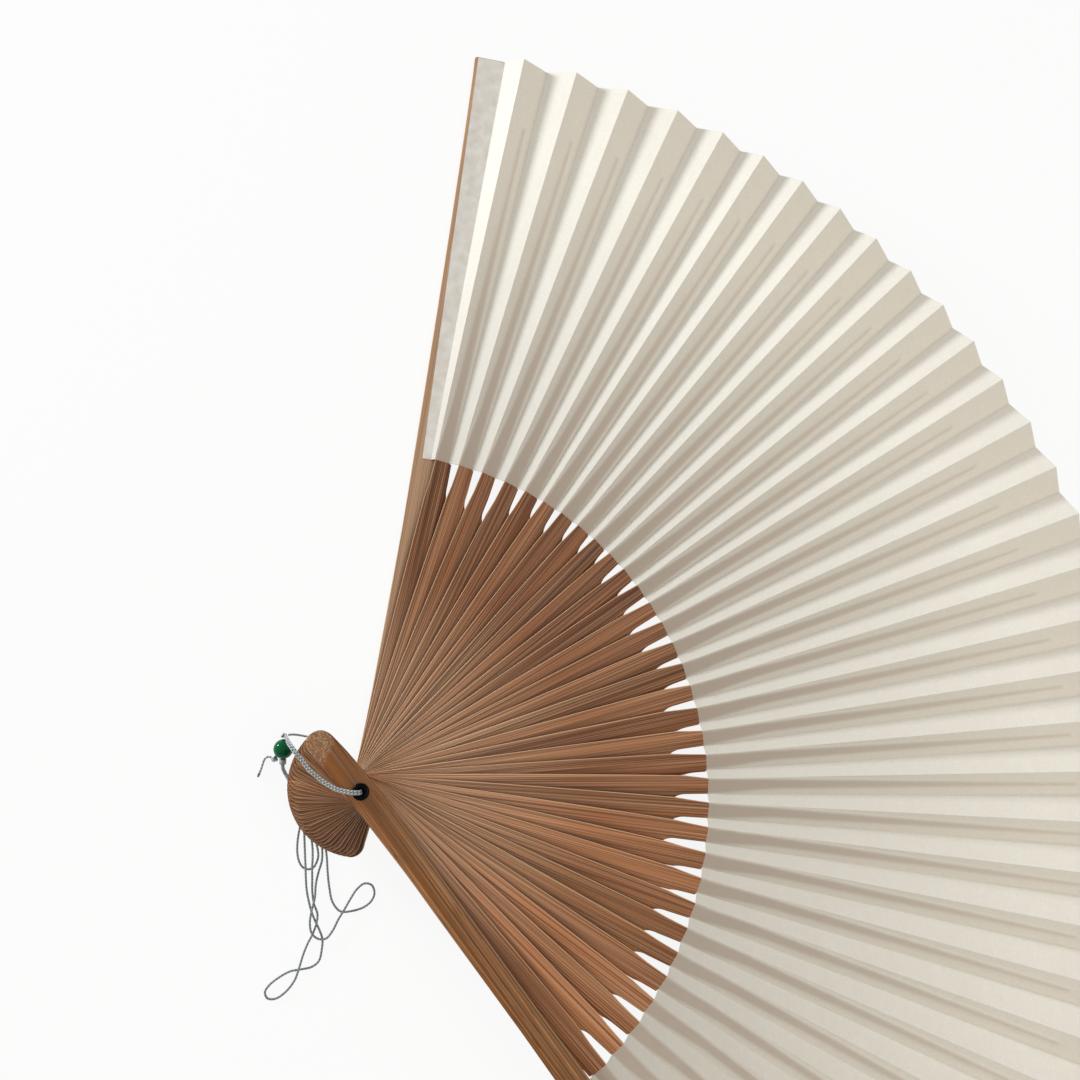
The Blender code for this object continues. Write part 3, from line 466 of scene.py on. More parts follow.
def stick_edges(u, index):
    """The anticlockwise and clockwise edges at u of a rib or a guard."""
    if index == 0:
        return guard_edges(u, REAR_GUARD_BOW, REAR_HEAD_BEND)
    if index == RIB_COUNT + 1:
        return guard_edges(u, FRONT_GUARD_BOW, FRONT_HEAD_BEND)
    return rib_edges(u, index)


def twist(u, v):
    """Height that a rib's twist adds at a place: its low edge follows the valley fold, its high edge the
    mountain fold, and between them the height grows evenly."""
    turn = smooth((u - SHOULDER_RADIUS) / SHOULDER_LENGTH)
    narrow = blade_half(u) + (0.5 * FACET_INNER_WIDTH - blade_half(u)) * turn
    reach = np.where(u > LEAF_RADIUS, facet_half(u), np.maximum(narrow, 1e-5))
    return pleat_height(u) / (2.0 * reach) * (v + reach)


# Meshes


def link(name, data):
    """Put a new object with this data into the scene."""
    obj = bpy.data.objects.new(name, data)
    bpy.context.scene.collection.objects.link(obj)
    return obj


def new_mesh(name, points, *faces):
    """A mesh from an array of points and arrays of faces, each array with one number of corners."""
    mesh = bpy.data.meshes.new(name)
    mesh.vertices.add(len(points))
    mesh.vertices.foreach_set("co", np.ascontiguousarray(points, dtype=np.float32).ravel())
    totals = np.concatenate([np.full(len(part), part.shape[1]) for part in faces])
    corners = np.concatenate([part.ravel() for part in faces])
    mesh.loops.add(len(corners))
    mesh.loops.foreach_set("vertex_index", corners.astype(np.int32))
    mesh.polygons.add(len(totals))
    mesh.polygons.foreach_set("loop_start", np.concatenate([[0], np.cumsum(totals)[:-1]]).astype(np.int32))
    mesh.update(calc_edges=True)
    mesh.validate()
    return mesh


def quads(rows, columns, start=0, around=False, closed=False):
    """Corner numbers of a grid's quads. The columns join round where around is set, the rows where
    closed is."""
    i, j = np.meshgrid(np.arange(rows if closed else rows - 1),
                       np.arange(columns if around else columns - 1), indexing="ij")
    ii, jj = (i + 1) % rows, (j + 1) % columns
    corners = np.stack([i * columns + j, ii * columns + j, ii * columns + jj, i * columns + jj], axis=-1)
    return start + corners.reshape(-1, 4)


def face_outwards(mesh):
    """Turn every face so that it points out of the closed shape."""
    bm = bmesh.new()
    bm.from_mesh(mesh)
    bmesh.ops.recalc_face_normals(bm, faces=bm.faces)
    bm.to_mesh(mesh)
    bm.free()
    return mesh


def loft(name, rings, closed=False):
    """A skin over rings of points, an array (rings, points, 3). Open lofts get a flat cap at each end."""
    count, around = rings.shape[:2]
    faces = [quads(count, around, around=True, closed=closed)]
    if not closed:
        faces.append(np.arange(around)[None, :])
        faces.append((count - 1) * around + np.arange(around)[None, ::-1])
    return face_outwards(new_mesh(name, rings.reshape(-1, 3), *faces))


def slab(name, top, bottom):
    """A sheet with a top and a bottom grid of points, closed by walls along its four sides."""
    rows, columns = top.shape[:2]
    size = rows * columns
    number = np.arange(size).reshape(rows, columns)
    border = np.concatenate([number[0, :], number[1:, -1], number[-1, -2::-1], number[-2:0:-1, 0]])
    after = np.roll(border, -1)
    walls = np.stack([border, after, after + size, border + size], axis=-1)
    points = np.concatenate([top.reshape(-1, 3), bottom.reshape(-1, 3)])
    return face_outwards(new_mesh(name, points, quads(rows, columns), quads(rows, columns, size), walls))


def turned(name, profile, centre, axis, sides):
    """A closed profile of (radius, height) points turned about an axis through a centre."""
    axis = np.asarray(axis, float) / np.linalg.norm(axis)
    side = np.cross(axis, (0.0, 0.0, 1.0) if abs(axis[2]) < 0.9 else (0.0, 1.0, 0.0))
    side /= np.linalg.norm(side)
    front = np.cross(axis, side)
    turn = np.linspace(0.0, 2.0 * math.pi, sides, endpoint=False)[:, None, None]
    radius = np.asarray(profile)[None, :, :1]
    rings = radius * (np.cos(turn) * side + np.sin(turn) * front) + np.asarray(profile)[None, :, 1:] * axis
    return loft(name, rings + np.asarray(centre), closed=True)


def drilled(mesh, radius):
    """The mesh with the rivet's hole cut through it."""
    turn = np.linspace(0.0, 2.0 * math.pi, 32, endpoint=False)
    ring = np.stack([radius * np.cos(turn), radius * np.sin(turn), np.zeros(32)], axis=-1) + PIVOT
    ends = ring + np.array((0.0, 0.0, 1.0)) * np.array((-0.05, 0.05))[:, None, None]
    drill, blank = link("drill", loft("drill", ends)), link("blank", mesh)
    cut = blank.modifiers.new("rivet hole", "BOOLEAN")
    cut.operation = "DIFFERENCE"
    cut.object = drill
    bpy.context.view_layer.update()
    done = bpy.data.meshes.new_from_object(blank.evaluated_get(bpy.context.evaluated_depsgraph_get()))
    for obj in (blank, drill):
        bpy.data.objects.remove(obj)
    done.name = mesh.name
    return done


def store(mesh, name, values):
    """Put one number or one vector for each vertex into the mesh under a name."""
    vector = values.ndim == 2
    attribute = mesh.attributes.new(name, "FLOAT_VECTOR" if vector else "FLOAT", "POINT")
    attribute.data.foreach_set("vector" if vector else "value", values.astype(np.float32).ravel())


def vertex_points(mesh):
    """The mesh's vertices as an array."""
    points = np.empty(3 * len(mesh.vertices), dtype=np.float32)
    mesh.vertices.foreach_get("co", points)
    return points.reshape(-1, 3).astype(float)


def add_piece(name, mesh, material, body, replaced=(), crease=35.0):
    """Put a finished mesh into the scene as a piece that rides on a body. crease is the angle in degrees
    over which an edge stays sharp."""
    mesh.materials.clear()
    mesh.materials.append(material)
    mesh.shade_smooth()
    mesh.set_sharp_from_angle(angle=math.radians(crease))
    obj = link(name, mesh)
    if replaced:
        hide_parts(*replaced)
    if body is not None:
        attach(obj, body)
    return obj


def home(node):
    """The body that a CAD node rides on."""
    return frame["nodes"][node]["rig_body"]


# Cords

# Directions that cords never run along, across which their tubes are laid out
LEVEL_CORD = (0.0, 0.0, 1.0)
HANGING_CORD = (0.61, -0.79, 0.0)
# A strand of the braid goes round once in three diameters of the cord. A whipping's thread is 0.35 mm wide.
BRAID_TURN = 3.0
WHIPPING_THREAD = 0.00035


def smooth_route(points, step):
    """Points so far apart on a smooth curve through the route: a cubic between neighbours, whose slope
    at each point follows the two points beside it. It is the CAD model's curve."""
    route = np.array(points) + PIVOT
    gaps = np.sqrt(np.linalg.norm(np.diff(route, axis=0), axis=1))
    knots = np.concatenate([[0.0], np.cumsum(gaps)])
    slopes = np.gradient(route, knots, axis=0)
    places = np.linspace(0.0, knots[-1], 40 * len(points))
    for _ in range(2):
        span = np.clip(np.searchsorted(knots, places, side="right") - 1, 0, len(gaps) - 1)
        width = gaps[span][:, None]
        t = ((places - knots[span]) / gaps[span])[:, None]
        start = (2 * t ** 3 - 3 * t ** 2 + 1) * route[span] + (t ** 3 - 2 * t ** 2 + t) * width * slopes[span]
        end = (3 * t ** 2 - 2 * t ** 3) * route[span + 1] + (t ** 3 - t ** 2) * width * slopes[span + 1]
        curve = start + end
        run = np.concatenate([[0.0], np.cumsum(np.linalg.norm(np.diff(curve, axis=0), axis=1))])
        places = np.interp(np.linspace(0.0, run[-1], max(8, round(run[-1] / step)) + 1), run, places)
    return curve


def side_by_side(points, offset):
    """The route of one of two strands that lie against each other, moved level across its run."""
    route = np.array(points)
    run = np.gradient(route, axis=0)
    across = np.column_stack([-run[:, 1], run[:, 0], np.zeros(len(run))])
    return route + offset * across / np.linalg.norm(across, axis=1)[:, None]


def run_length(path):
    """How far along the path each of its points is."""
    return np.concatenate([[0.0], np.cumsum(np.linalg.norm(np.diff(path, axis=0), axis=1))])


def cord_mesh(name, path, radius, upright, sides=16, closed=False, ripple="braid"):
    """A tube along a path. upright is a direction that the path never runs along, from which each ring
    takes its own axes. A braid's radius rises where either of two sets of two opposed helices passes,
    and a whipping's where its thread lies."""
    if closed:
        tangent = np.roll(path, -1, axis=0) - np.roll(path, 1, axis=0)
    else:
        tangent = np.gradient(path, axis=0)
    tangent /= np.linalg.norm(tangent, axis=1)[:, None]
    side = np.cross(tangent, np.asarray(upright, float))
    side /= np.linalg.norm(side, axis=1)[:, None]
    top = np.cross(side, tangent)
    run = run_length(path)[:, None]
    turn = np.linspace(0.0, 2.0 * math.pi, sides, endpoint=False)[None, :]
    if ripple == "braid":
        pitch = 2.0 * math.pi * run / (BRAID_TURN * 2.0 * radius)
        weave = np.maximum(np.cos(2.0 * turn + 2.0 * pitch), np.cos(2.0 * turn - 2.0 * pitch + 1.2))
        swell = 0.955 + 0.045 * weave
    else:
        weave = np.abs(np.cos(math.pi * run / WHIPPING_THREAD + 0.5 * turn))
        swell = 0.92 + 0.08 * weave
    rings = path[:, None, :] + radius * swell[..., None] * (
        np.cos(turn)[..., None] * side[:, None, :] + np.sin(turn)[..., None] * top[:, None, :])
    mesh = loft(name, rings, closed=closed)
    store(mesh, "weave", np.stack(np.broadcast_arrays(run / MM, turn, weave), axis=-1).reshape(-1, 3))
    return mesh


def knot_path(centre, radius, cord_radius, tilt):
    """A trefoil knot about a centre: three turns round it that pass over and under each other. With it
    comes the direction of the knot's own axis."""
    t = np.linspace(0.0, 2.0 * math.pi, 120, endpoint=False)
    knot = np.stack([np.sin(t) + 2.0 * np.sin(2.0 * t), np.cos(t) - 2.0 * np.cos(2.0 * t),
                     -1.6 * np.sin(3.0 * t)], axis=-1)
    knot *= (radius - cord_radius) / np.abs(np.linalg.norm(knot, axis=1)).max()
    turn = np.array(Vector(tilt).normalized().to_track_quat("Z", "Y").to_matrix())
    return knot @ turn.T + centre + PIVOT, np.array(turn @ (0.0, 0.0, 1.0))


# Materials

# Inputs of a Map Range node: where its value starts and ends, and what it gives there
LIMITS = ("From Min", "From Max", "To Min", "To Max")
# Height of the relief of fibres, in metres, and sizes of the patterns, in millimetres. The paper's fibres
# and the plastic's wear are finer in truth, and are drawn as coarse as they need to show.
FINE_RELIEF = 0.00006
PULP_CLOUD = 14.29
PAPER_FIBRE = 0.909
PASTE_CLOUD = 3.846
PLASTIC_WEAR = 1.111
GLASS_SWIRL = 2.381
NODE_DOT_SPACING = 0.6897


def add_node(tree, kind, inputs=None, **settings):
    """Add a node, set its settings, and give each named or numbered input a value or a link."""
    node = tree.nodes.new(kind)
    for key, value in settings.items():
        setattr(node, key, value)
    for key, value in (inputs or {}).items():
        if isinstance(value, bpy.types.NodeSocket):
            tree.links.new(value, node.inputs[key])
        else:
            node.inputs[key].default_value = value
    return node


def new_material(name, **shader_inputs):
    """A material with the Principled shader, whose constant values are set on its own sockets."""
    material = bpy.data.materials.new(name)
    material.use_nodes = True
    tree = material.node_tree
    shader = tree.nodes["Principled BSDF"]
    for key, value in shader_inputs.items():
        shader.inputs[key.replace("_", " ")].default_value = value
    return material, tree, shader


def rgba(colour):
    """A colour setting as a node's colour value."""
    return (*colour, 1.0)


def split_cane(name, colours, light, mid, dark, bundle_width=0.30, contrast=(1.36, 0.55), rubbed=0.0):
    """Split bamboo, planed thin and left bare. Planing along the growth shows straight fibre bundles that run
    through the whole stick, 0.3 mm wide in a rib and up to 0.45 mm in a guard, dark in a paler ground. The
    surface is satin. Each stick comes from another piece of cane, so its tone is its own, and the later
    sticks are painted lighter than the first ones. The bare edge is pale as cut bamboo and is painted paler
    still as a highlight, less so near the rivet on the later sticks, and the ribs are rubbed pale near the
    rivet, where hands grip the fan. Painted shade darkens a stick's head, most on the sticks deep in the
    stack, and the corner beside the next one. Places and widths here are in millimetres. With the material
    come its colour, its noises, the place on the stick and the distances from its edges, for a stick with
    more marks."""
    material, tree, shader = new_material(name, Roughness=0.50, IOR=1.50, Specular_IOR_Level=0.30)
    place = add_node(tree, "ShaderNodeAttribute", attribute_name="stick_place").outputs["Vector"]
    along, across, stick = add_node(tree, "ShaderNodeSeparateXYZ", {"Vector": place}).outputs
    gaps = add_node(tree, "ShaderNodeAttribute", attribute_name="edge_gap").outputs["Vector"]
    to_bare, to_covered, beyond = add_node(tree, "ShaderNodeSeparateXYZ", {"Vector": gaps}).outputs
    own = add_node(tree, "ShaderNodeTexWhiteNoise", {"W": stick}, noise_dimensions="1D")
    tones = add_node(tree, "ShaderNodeSeparateColor", {"Color": own.outputs["Color"]})
    shift = add_node(tree, "ShaderNodeMath", {0: stick, 1: 37.7}, operation="MULTIPLY")
    away = add_node(tree, "ShaderNodeMath", {0: along}, operation="ABSOLUTE")
    # Cloudy noise, drawn out along the stick to fibres of a length and a width
    noises = {}
    for key, length, width, detail in (("fibre", 170.0, bundle_width, 1.0), ("fine", 80.0, 0.17, 0.0),
                                       ("broad", 130.0, 2.0, 1.0), ("bundle", 9.0, 0.35, 0.0)):
        fibre_u = add_node(tree, "ShaderNodeMath", {0: along, 1: 1.0 / length}, operation="MULTIPLY")
        fibre_v = add_node(tree, "ShaderNodeMath", {0: across, 1: 1.0 / width}, operation="MULTIPLY")
        at = add_node(tree, "ShaderNodeCombineXYZ",
                      {"X": fibre_u.outputs[0], "Y": fibre_v.outputs[0], "Z": shift.outputs[0]})
        noises[key] = add_node(tree, "ShaderNodeTexNoise",
                               {"Vector": at.outputs[0], "Scale": 1.0, "Detail": detail,
                                "Roughness": 0.55}).outputs["Fac"]
    # Shares of each mark: the value that it follows, from where to where, and its share at either end
    neck_from, neck_to = (SHOULDER_RADIUS - 0.022) / MM, (SHOULDER_RADIUS - 0.002) / MM
    shares = {}
    for key, value, limits, ease in (
            # The later sticks are painted lighter than the first ones
            ("later stick", stick, (8.0, 24.0, -0.35, 0.48), "LINEAR"),
            ("grey stick", tones.outputs["Green"], (0.45, 1.0, 0.0, 0.65), "LINEAR"),
            ("dark patch", noises["broad"], (0.40, 0.66, 0.0, 0.20), "LINEAR"),
            ("near rivet", along, (30.0, 75.0, 1.0, 0.0), "LINEAR"),
            ("past rivet", along, (0.0, 14.0, 0.0, rubbed), "LINEAR"),
            ("head", along, (-9.0, 2.0, 1.0, 0.0), "LINEAR"),
            # Painted shade on the heads, darker on the sticks deep in the stack
            ("head shade by stick", stick, (4.0, 22.0, 0.62, 0.20), "LINEAR"),
            ("bundles", noises["fibre"], (0.36, 0.64, *contrast), "SMOOTHSTEP"),
            ("pale fibre", noises["fine"], (0.55, 0.72, 0.0, 0.45), "LINEAR"),
            # Where the painted shade lies in the corner beside the next stick, on the blade and on the head
            ("covered", beyond, (0.0, 0.48, 1.0, 0.0), "SMOOTHERSTEP"),
            ("blade", along, (6.0, 30.0, 0.0, 0.54), "LINEAR"),
            ("before neck", along, (neck_from, neck_to, 1.0, 0.0), "LINEAR"),
            ("deep stick", stick, (6.0, 24.0, 0.95, 0.45), "LINEAR"),
            # Painted highlight along the bare edge, kept weak near the rivet on the later sticks by clean and
            # early stick
            ("edge", to_bare, (0.12, 0.40, 0.62, 0.0), "SMOOTHSTEP"),
            ("early stick", stick, (6.0, 16.0, 0.85, 0.15), "LINEAR"),
            ("clean", away.outputs[0], (4.0, 32.0, 0.05, 1.0), "LINEAR")):
        shares[key] = add_node(tree, "ShaderNodeMapRange", {"Value": value, **dict(zip(LIMITS, limits))},
                               interpolation_type=ease).outputs[0]
    for key, operation, first, second in (
            ("towards rivet", "MULTIPLY", "near rivet", "past rivet"), ("head shade", "MULTIPLY", "head", "head shade by stick"),
            ("corner on blade", "MULTIPLY", "blade", "before neck"),
            ("corner on head", "MULTIPLY", "head", "deep stick"),
            ("corner", "MAXIMUM", "corner on blade", "corner on head"),
            ("corner", "MULTIPLY", "covered", "corner"), ("clean", "MAXIMUM", "clean", "early stick"),
            ("edge", "MULTIPLY", "edge", "clean")):
        shares[key] = add_node(tree, "ShaderNodeMath", {0: shares[first], 1: shares[second]},
                               operation=operation).outputs[0]
    tone = add_node(tree, "ShaderNodeMath", {0: tones.outputs["Red"], 1: shares["later stick"]},
                    operation="ADD", use_clamp=True)
    # The coats over the ground colour, from the lowest to the highest
    colour = rgba(mid)
    for share, coat, blend in ((tone.outputs[0], rgba(light), "MIX"),
                               (shares["grey stick"], rgba(colours.bamboo_grey), "MIX"),
                               (shares["dark patch"], rgba(dark), "MIX"),
                               (shares["towards rivet"], rgba(colours.inner_light), "MIX"),
                               # Painted shade on the heads
                               (shares["head shade"], rgba(colours.bamboo_shade), "MIX"),
                               (1.0, shares["bundles"], "MULTIPLY"),
                               (shares["pale fibre"], rgba(colours.pale_bamboo_and_highlight), "MIX"),
                               # Painted shade in the corner beside the next stick
                               (shares["corner"], rgba(colours.bamboo_shade), "MIX"),
                               # Painted highlight along the bare edge, over its pale bamboo
                               (shares["edge"], rgba(colours.pale_bamboo_and_highlight), "MIX")):
        colour = add_node(tree, "ShaderNodeMix", {"Factor": share, "A": colour, "B": coat},
                          data_type="RGBA", blend_type=blend).outputs["Result"]
    relief = add_node(tree, "ShaderNodeBump", {"Height": noises["fibre"], "Strength": 0.4,
                                               "Distance": FINE_RELIEF})
    tree.links.new(relief.outputs[0], shader.inputs["Normal"])
    tree.links.new(colour, shader.inputs["Base Color"])
    return material, colour, noises, (along, across), (to_bare, to_covered)


def bamboo_for_ribs(colours):
    """The ribs' bamboo, cut from the cane's wall."""
    return split_cane("split bamboo of the ribs", colours, colours.bamboo_light, colours.bamboo_mid,
                      colours.bamboo_dark, rubbed=0.40)[0]


def bamboo_for_rear_guard(colours):
    """The rear guard's bamboo, cut thicker, with the pale inner side of the cane's wall upwards."""
    return split_cane("split bamboo of the rear guard", colours, colours.inner_light, colours.inner_dark,
                      colours.inner_dark, contrast=(1.18, 0.80))[0]


def bamboo_for_front_guard(colours):
    """The front guard's bamboo, cut thicker, with the cane's outside upwards: browner, with short dark
    streaks on its face. A root node ends on its head, whose pale dots are about 0.5 mm wide, and there
    is a ruddy patch between the node and the rivet."""
    material, colour, noises, (along, across), (to_bare, to_covered) = split_cane(
        "split bamboo of the front guard", colours, colours.guard_light, colours.guard_mid,
        colours.guard_dark, 0.45)
    tree = material.node_tree
    at = add_node(tree, "ShaderNodeCombineXYZ", {"X": along, "Y": across})
    cells = add_node(tree, "ShaderNodeTexVoronoi", {"Vector": at.outputs[0],
                                                    "Scale": 1.0 / NODE_DOT_SPACING, "Randomness": 0.9})
    slanted = add_node(tree, "ShaderNodeMath", {0: across, 1: 0.63, 2: along}, operation="MULTIPLY_ADD")
    to_edge = add_node(tree, "ShaderNodeMath", {0: to_bare, 1: to_covered}, operation="MINIMUM")
    # Shares of each mark: the value that it follows, from where to where, and its share at either end
    shares = {"pale": 0.35}
    for key, value, limits in (
            ("past node", along, (-17.5, -15.0, 0.0, 1.0)), ("before rivet", along, (-8.0, -2.0, 0.65, 0.0)),
            ("ruddy cloud", noises["broad"], (0.35, 0.6, 0.55, 1.0)),
            ("outer side", across, (-1.4, 0.6, 1.0, 0.12)),
            ("dot", cells.outputs["Distance"], (0.22, 0.50, 0.50, 0.0)),
            ("node", slanted.outputs[0], (-18.6, -15.6, 1.0, 0.0)),
            ("streak", noises["bundle"], (0.64, 0.72, 0.0, 0.7)), ("blade", along, (-8.0, 0.0, 0.0, 1.0)),
            ("top", to_edge.outputs[0], (0.1, 0.8, 0.0, 1.0)),
            ("weathered side", across, (-1.5, 2.5, 0.0, 0.28))):
        shares[key] = add_node(tree, "ShaderNodeMapRange",
                               {"Value": value, **dict(zip(LIMITS, limits))}).outputs[0]
    for key, factors in (("ruddy", ("past node", "before rivet", "outer side", "ruddy cloud")),
                         ("dots", ("dot", "node")), ("pale node", ("node", "pale")),
                         ("streaks", ("top", "blade", "streak")), ("weathered", ("weathered side", "blade"))):
        product = shares[factors[0]]
        for factor in factors[1:]:
            product = add_node(tree, "ShaderNodeMath", {0: product, 1: shares[factor]},
                               operation="MULTIPLY").outputs[0]
        shares[key] = product
    for key, coat in (("ruddy", colours.ruddy), ("pale node", colours.inner_dark), ("dots", colours.pale_bamboo_and_highlight),
                      ("streaks", colours.guard_dark), ("weathered", colours.bamboo_grey)):
        colour = add_node(tree, "ShaderNodeMix", {"Factor": shares[key], "A": colour, "B": rgba(coat)},
                          data_type="RGBA").outputs["Result"]
    tree.links.new(colour, tree.nodes["Principled BSDF"].inputs["Base Color"])
    return material


def mulberry_paper(colours):
    """Mulberry paper, made by hand and pasted in two plies over the ribs. The sheet is matt and warm
    white, a little cloudy where its pulp lies thicker, with short fibres in it. The facets with a rib are
    painted creamier and a little darker than the plain ones: partly for the rib that shows through, partly
    as painted shade on these facets, which face away from the light. The paper is thin enough for a rib
    between the plies to show as a soft brown stripe, which fades along the rib. The valley folds are
    darkened as painted shade, and the leaf is painted greyer towards its inner edge."""
    material, tree, shader = new_material("mulberry paper", Roughness=0.85, IOR=1.45,
                                          Specular_IOR_Level=0.25)
    where = add_node(tree, "ShaderNodeTexCoord")
    noises = {}
    for key, size, detail, roughness, distortion in (("cloud", PULP_CLOUD, 4.0, 0.6, 0.0),
                                                     ("fibre", PAPER_FIBRE, 3.0, 0.65, 1.6)):
        at = add_node(tree, "ShaderNodeMapping", {"Vector": where.outputs["Object"],
                                                  "Scale": [1.0 / (MM * size)] * 3})
        noises[key] = add_node(tree, "ShaderNodeTexNoise",
                               {"Vector": at.outputs[0], "Scale": 1.0, "Detail": detail,
                                "Roughness": roughness, "Distortion": distortion}).outputs["Fac"]
    place = add_node(tree, "ShaderNodeAttribute", attribute_name="leaf_place").outputs["Vector"]
    beside_rib, from_valley, ribbed = add_node(tree, "ShaderNodeSeparateXYZ", {"Vector": place}).outputs
    wander = add_node(tree, "ShaderNodeMath", {0: noises["cloud"], 1: 0.5, 2: beside_rib},
                      operation="MULTIPLY_ADD")
    centred = add_node(tree, "ShaderNodeMapping", {"Vector": where.outputs["Object"],
                                                   "Location": tuple(-PIVOT), "Scale": (1.0, 1.0, 0.0)})
    radius = add_node(tree, "ShaderNodeVectorMath", {0: centred.outputs[0]}, operation="LENGTH")
    # Shares of each mark: the value that it follows, from where to where, and its share at either end
    shares = {}
    for key, value, limits, ease in (
            ("fibres", noises["fibre"], (0.35, 0.70, 1.02, 0.93), "LINEAR"),
            ("age", noises["cloud"], (0.40, 0.70, 0.0, 0.25), "LINEAR"),
            ("stripe", wander.outputs[0], (-0.65, 0.80, 1.0, 0.0), "SMOOTHSTEP"),
            ("fading", radius.outputs["Value"], (LEAF_RADIUS, TIP_RADIUS - 0.028, 0.95, 0.46), "LINEAR"),
            # Painted shade down in the valley folds
            ("fold", from_valley, (0.0, 1.2, 0.14, 0.0), "SMOOTHERSTEP"),
            # The leaf painted greyer towards its inner edge
            ("towards rivet", radius.outputs["Value"], (LEAF_RADIUS, LEAF_RADIUS + 0.12, 0.38, 0.0), "LINEAR")):
        shares[key] = add_node(tree, "ShaderNodeMapRange", {"Value": value, **dict(zip(LIMITS, limits))},
                               interpolation_type=ease).outputs[0]
    for key, operation, first, second in (("stripe", "MULTIPLY", "stripe", "fading"),
                                          ("valley shade and inner grey", "MAXIMUM", "fold", "towards rivet")):
        shares[key] = add_node(tree, "ShaderNodeMath", {0: shares[first], 1: shares[second]},
                               operation=operation).outputs[0]
    # The coats over the ground colour, from the lowest to the highest
    colour = rgba(colours.paper_white)
    # The facets with a rib are painted creamier: partly the rib showing through, partly painted shade
    for share, coat, blend in ((ribbed, rgba(colours.paper_cream), "MIX"),
                               (1.0, shares["fibres"], "MULTIPLY"),
                               (shares["age"], rgba(colours.paper_cream), "MIX"),
                               (shares["stripe"], rgba(colours.rib_shade), "MIX"),
                               # Painted shade in the valley folds, and grey towards the inner edge
                               (shares["valley shade and inner grey"], rgba(colours.valley_shade_grey), "MIX")):
        colour = add_node(tree, "ShaderNodeMix", {"Factor": share, "A": colour, "B": coat},
                          data_type="RGBA", blend_type=blend).outputs["Result"]
    tree.links.new(colour, shader.inputs["Base Color"])
    relief = add_node(tree, "ShaderNodeBump", {"Height": noises["fibre"], "Strength": 0.4,
                                               "Distance": FINE_RELIEF})
    swell = add_node(tree, "ShaderNodeBump", {"Height": noises["cloud"], "Strength": 0.5,
                                              "Distance": 0.0010, "Normal": relief.outputs[0]})
    tree.links.new(swell.outputs[0], shader.inputs["Normal"])
    return material


def pasted_paper(colours):
    """The same mulberry paper where paste has soaked it on the guard: greyer, smoother and a little
    see-through to the bamboo's long fibres."""
    material, tree, shader = new_material("mulberry paper pasted on bamboo", Roughness=0.7, IOR=1.45,
                                          Specular_IOR_Level=0.3)
    where = add_node(tree, "ShaderNodeTexCoord")
    at = add_node(tree, "ShaderNodeMapping", {"Vector": where.outputs["Object"],
                                              "Scale": [1.0 / (MM * PASTE_CLOUD)] * 3})
    cloud = add_node(tree, "ShaderNodeTexNoise", {"Vector": at.outputs[0], "Scale": 1.0, "Detail": 4.0})
    factor = add_node(tree, "ShaderNodeMapRange", {"Value": cloud.outputs["Fac"], "From Min": 0.35,
                                                   "From Max": 0.7, "To Min": 0.0, "To Max": 0.45})
    colour = add_node(tree, "ShaderNodeMix", {"Factor": factor.outputs[0], "A": rgba(colours.flange_paper),
                                              "B": rgba(colours.rib_shade)}, data_type="RGBA")
    tree.links.new(colour.outputs["Result"], shader.inputs["Base Color"])
    relief = add_node(tree, "ShaderNodeBump", {"Height": cloud.outputs["Fac"], "Strength": 0.3,
                                               "Distance": 0.0001})
    tree.links.new(relief.outputs[0], shader.inputs["Normal"])
    return material


def moulded_plastic(colours):
    """Black moulded plastic of the eyelet: smooth and glossy, with a faint unevenness from handling. Its
    bore is dull, as it comes off the mould's pin."""
    material, tree, shader = new_material("moulded black plastic", Base_Color=rgba(colours.eyelet_black),
                                          IOR=1.49, Specular_IOR_Level=0.08)
    where = add_node(tree, "ShaderNodeTexCoord")
    at = add_node(tree, "ShaderNodeMapping", {"Vector": where.outputs["Object"],
                                              "Scale": [1.0 / (MM * PLASTIC_WEAR)] * 3})
    wear = add_node(tree, "ShaderNodeTexNoise", {"Vector": at.outputs[0], "Scale": 1.0, "Detail": 3.0})
    gloss = add_node(tree, "ShaderNodeMapRange", {"Value": wear.outputs["Fac"], "From Min": 0.3,
                                                  "From Max": 0.7, "To Min": 0.16, "To Max": 0.34})
    centred = add_node(tree, "ShaderNodeMapping", {"Vector": where.outputs["Object"],
                                                   "Location": tuple(-PIVOT), "Scale": (1.0, 1.0, 0.0)})
    radius = add_node(tree, "ShaderNodeVectorMath", {0: centred.outputs[0]}, operation="LENGTH")
    bore = add_node(tree, "ShaderNodeMapRange",
                    {"Value": radius.outputs["Value"], "From Min": EYELET_BORE_RADIUS + 0.00005,
                     "From Max": EYELET_BORE_RADIUS + 0.0003, "To Min": 0.95, "To Max": 0.0})
    rough = add_node(tree, "ShaderNodeMath", {0: gloss.outputs[0], 1: bore.outputs[0]}, operation="MAXIMUM")
    tree.links.new(rough.outputs[0], shader.inputs["Roughness"])
    return material


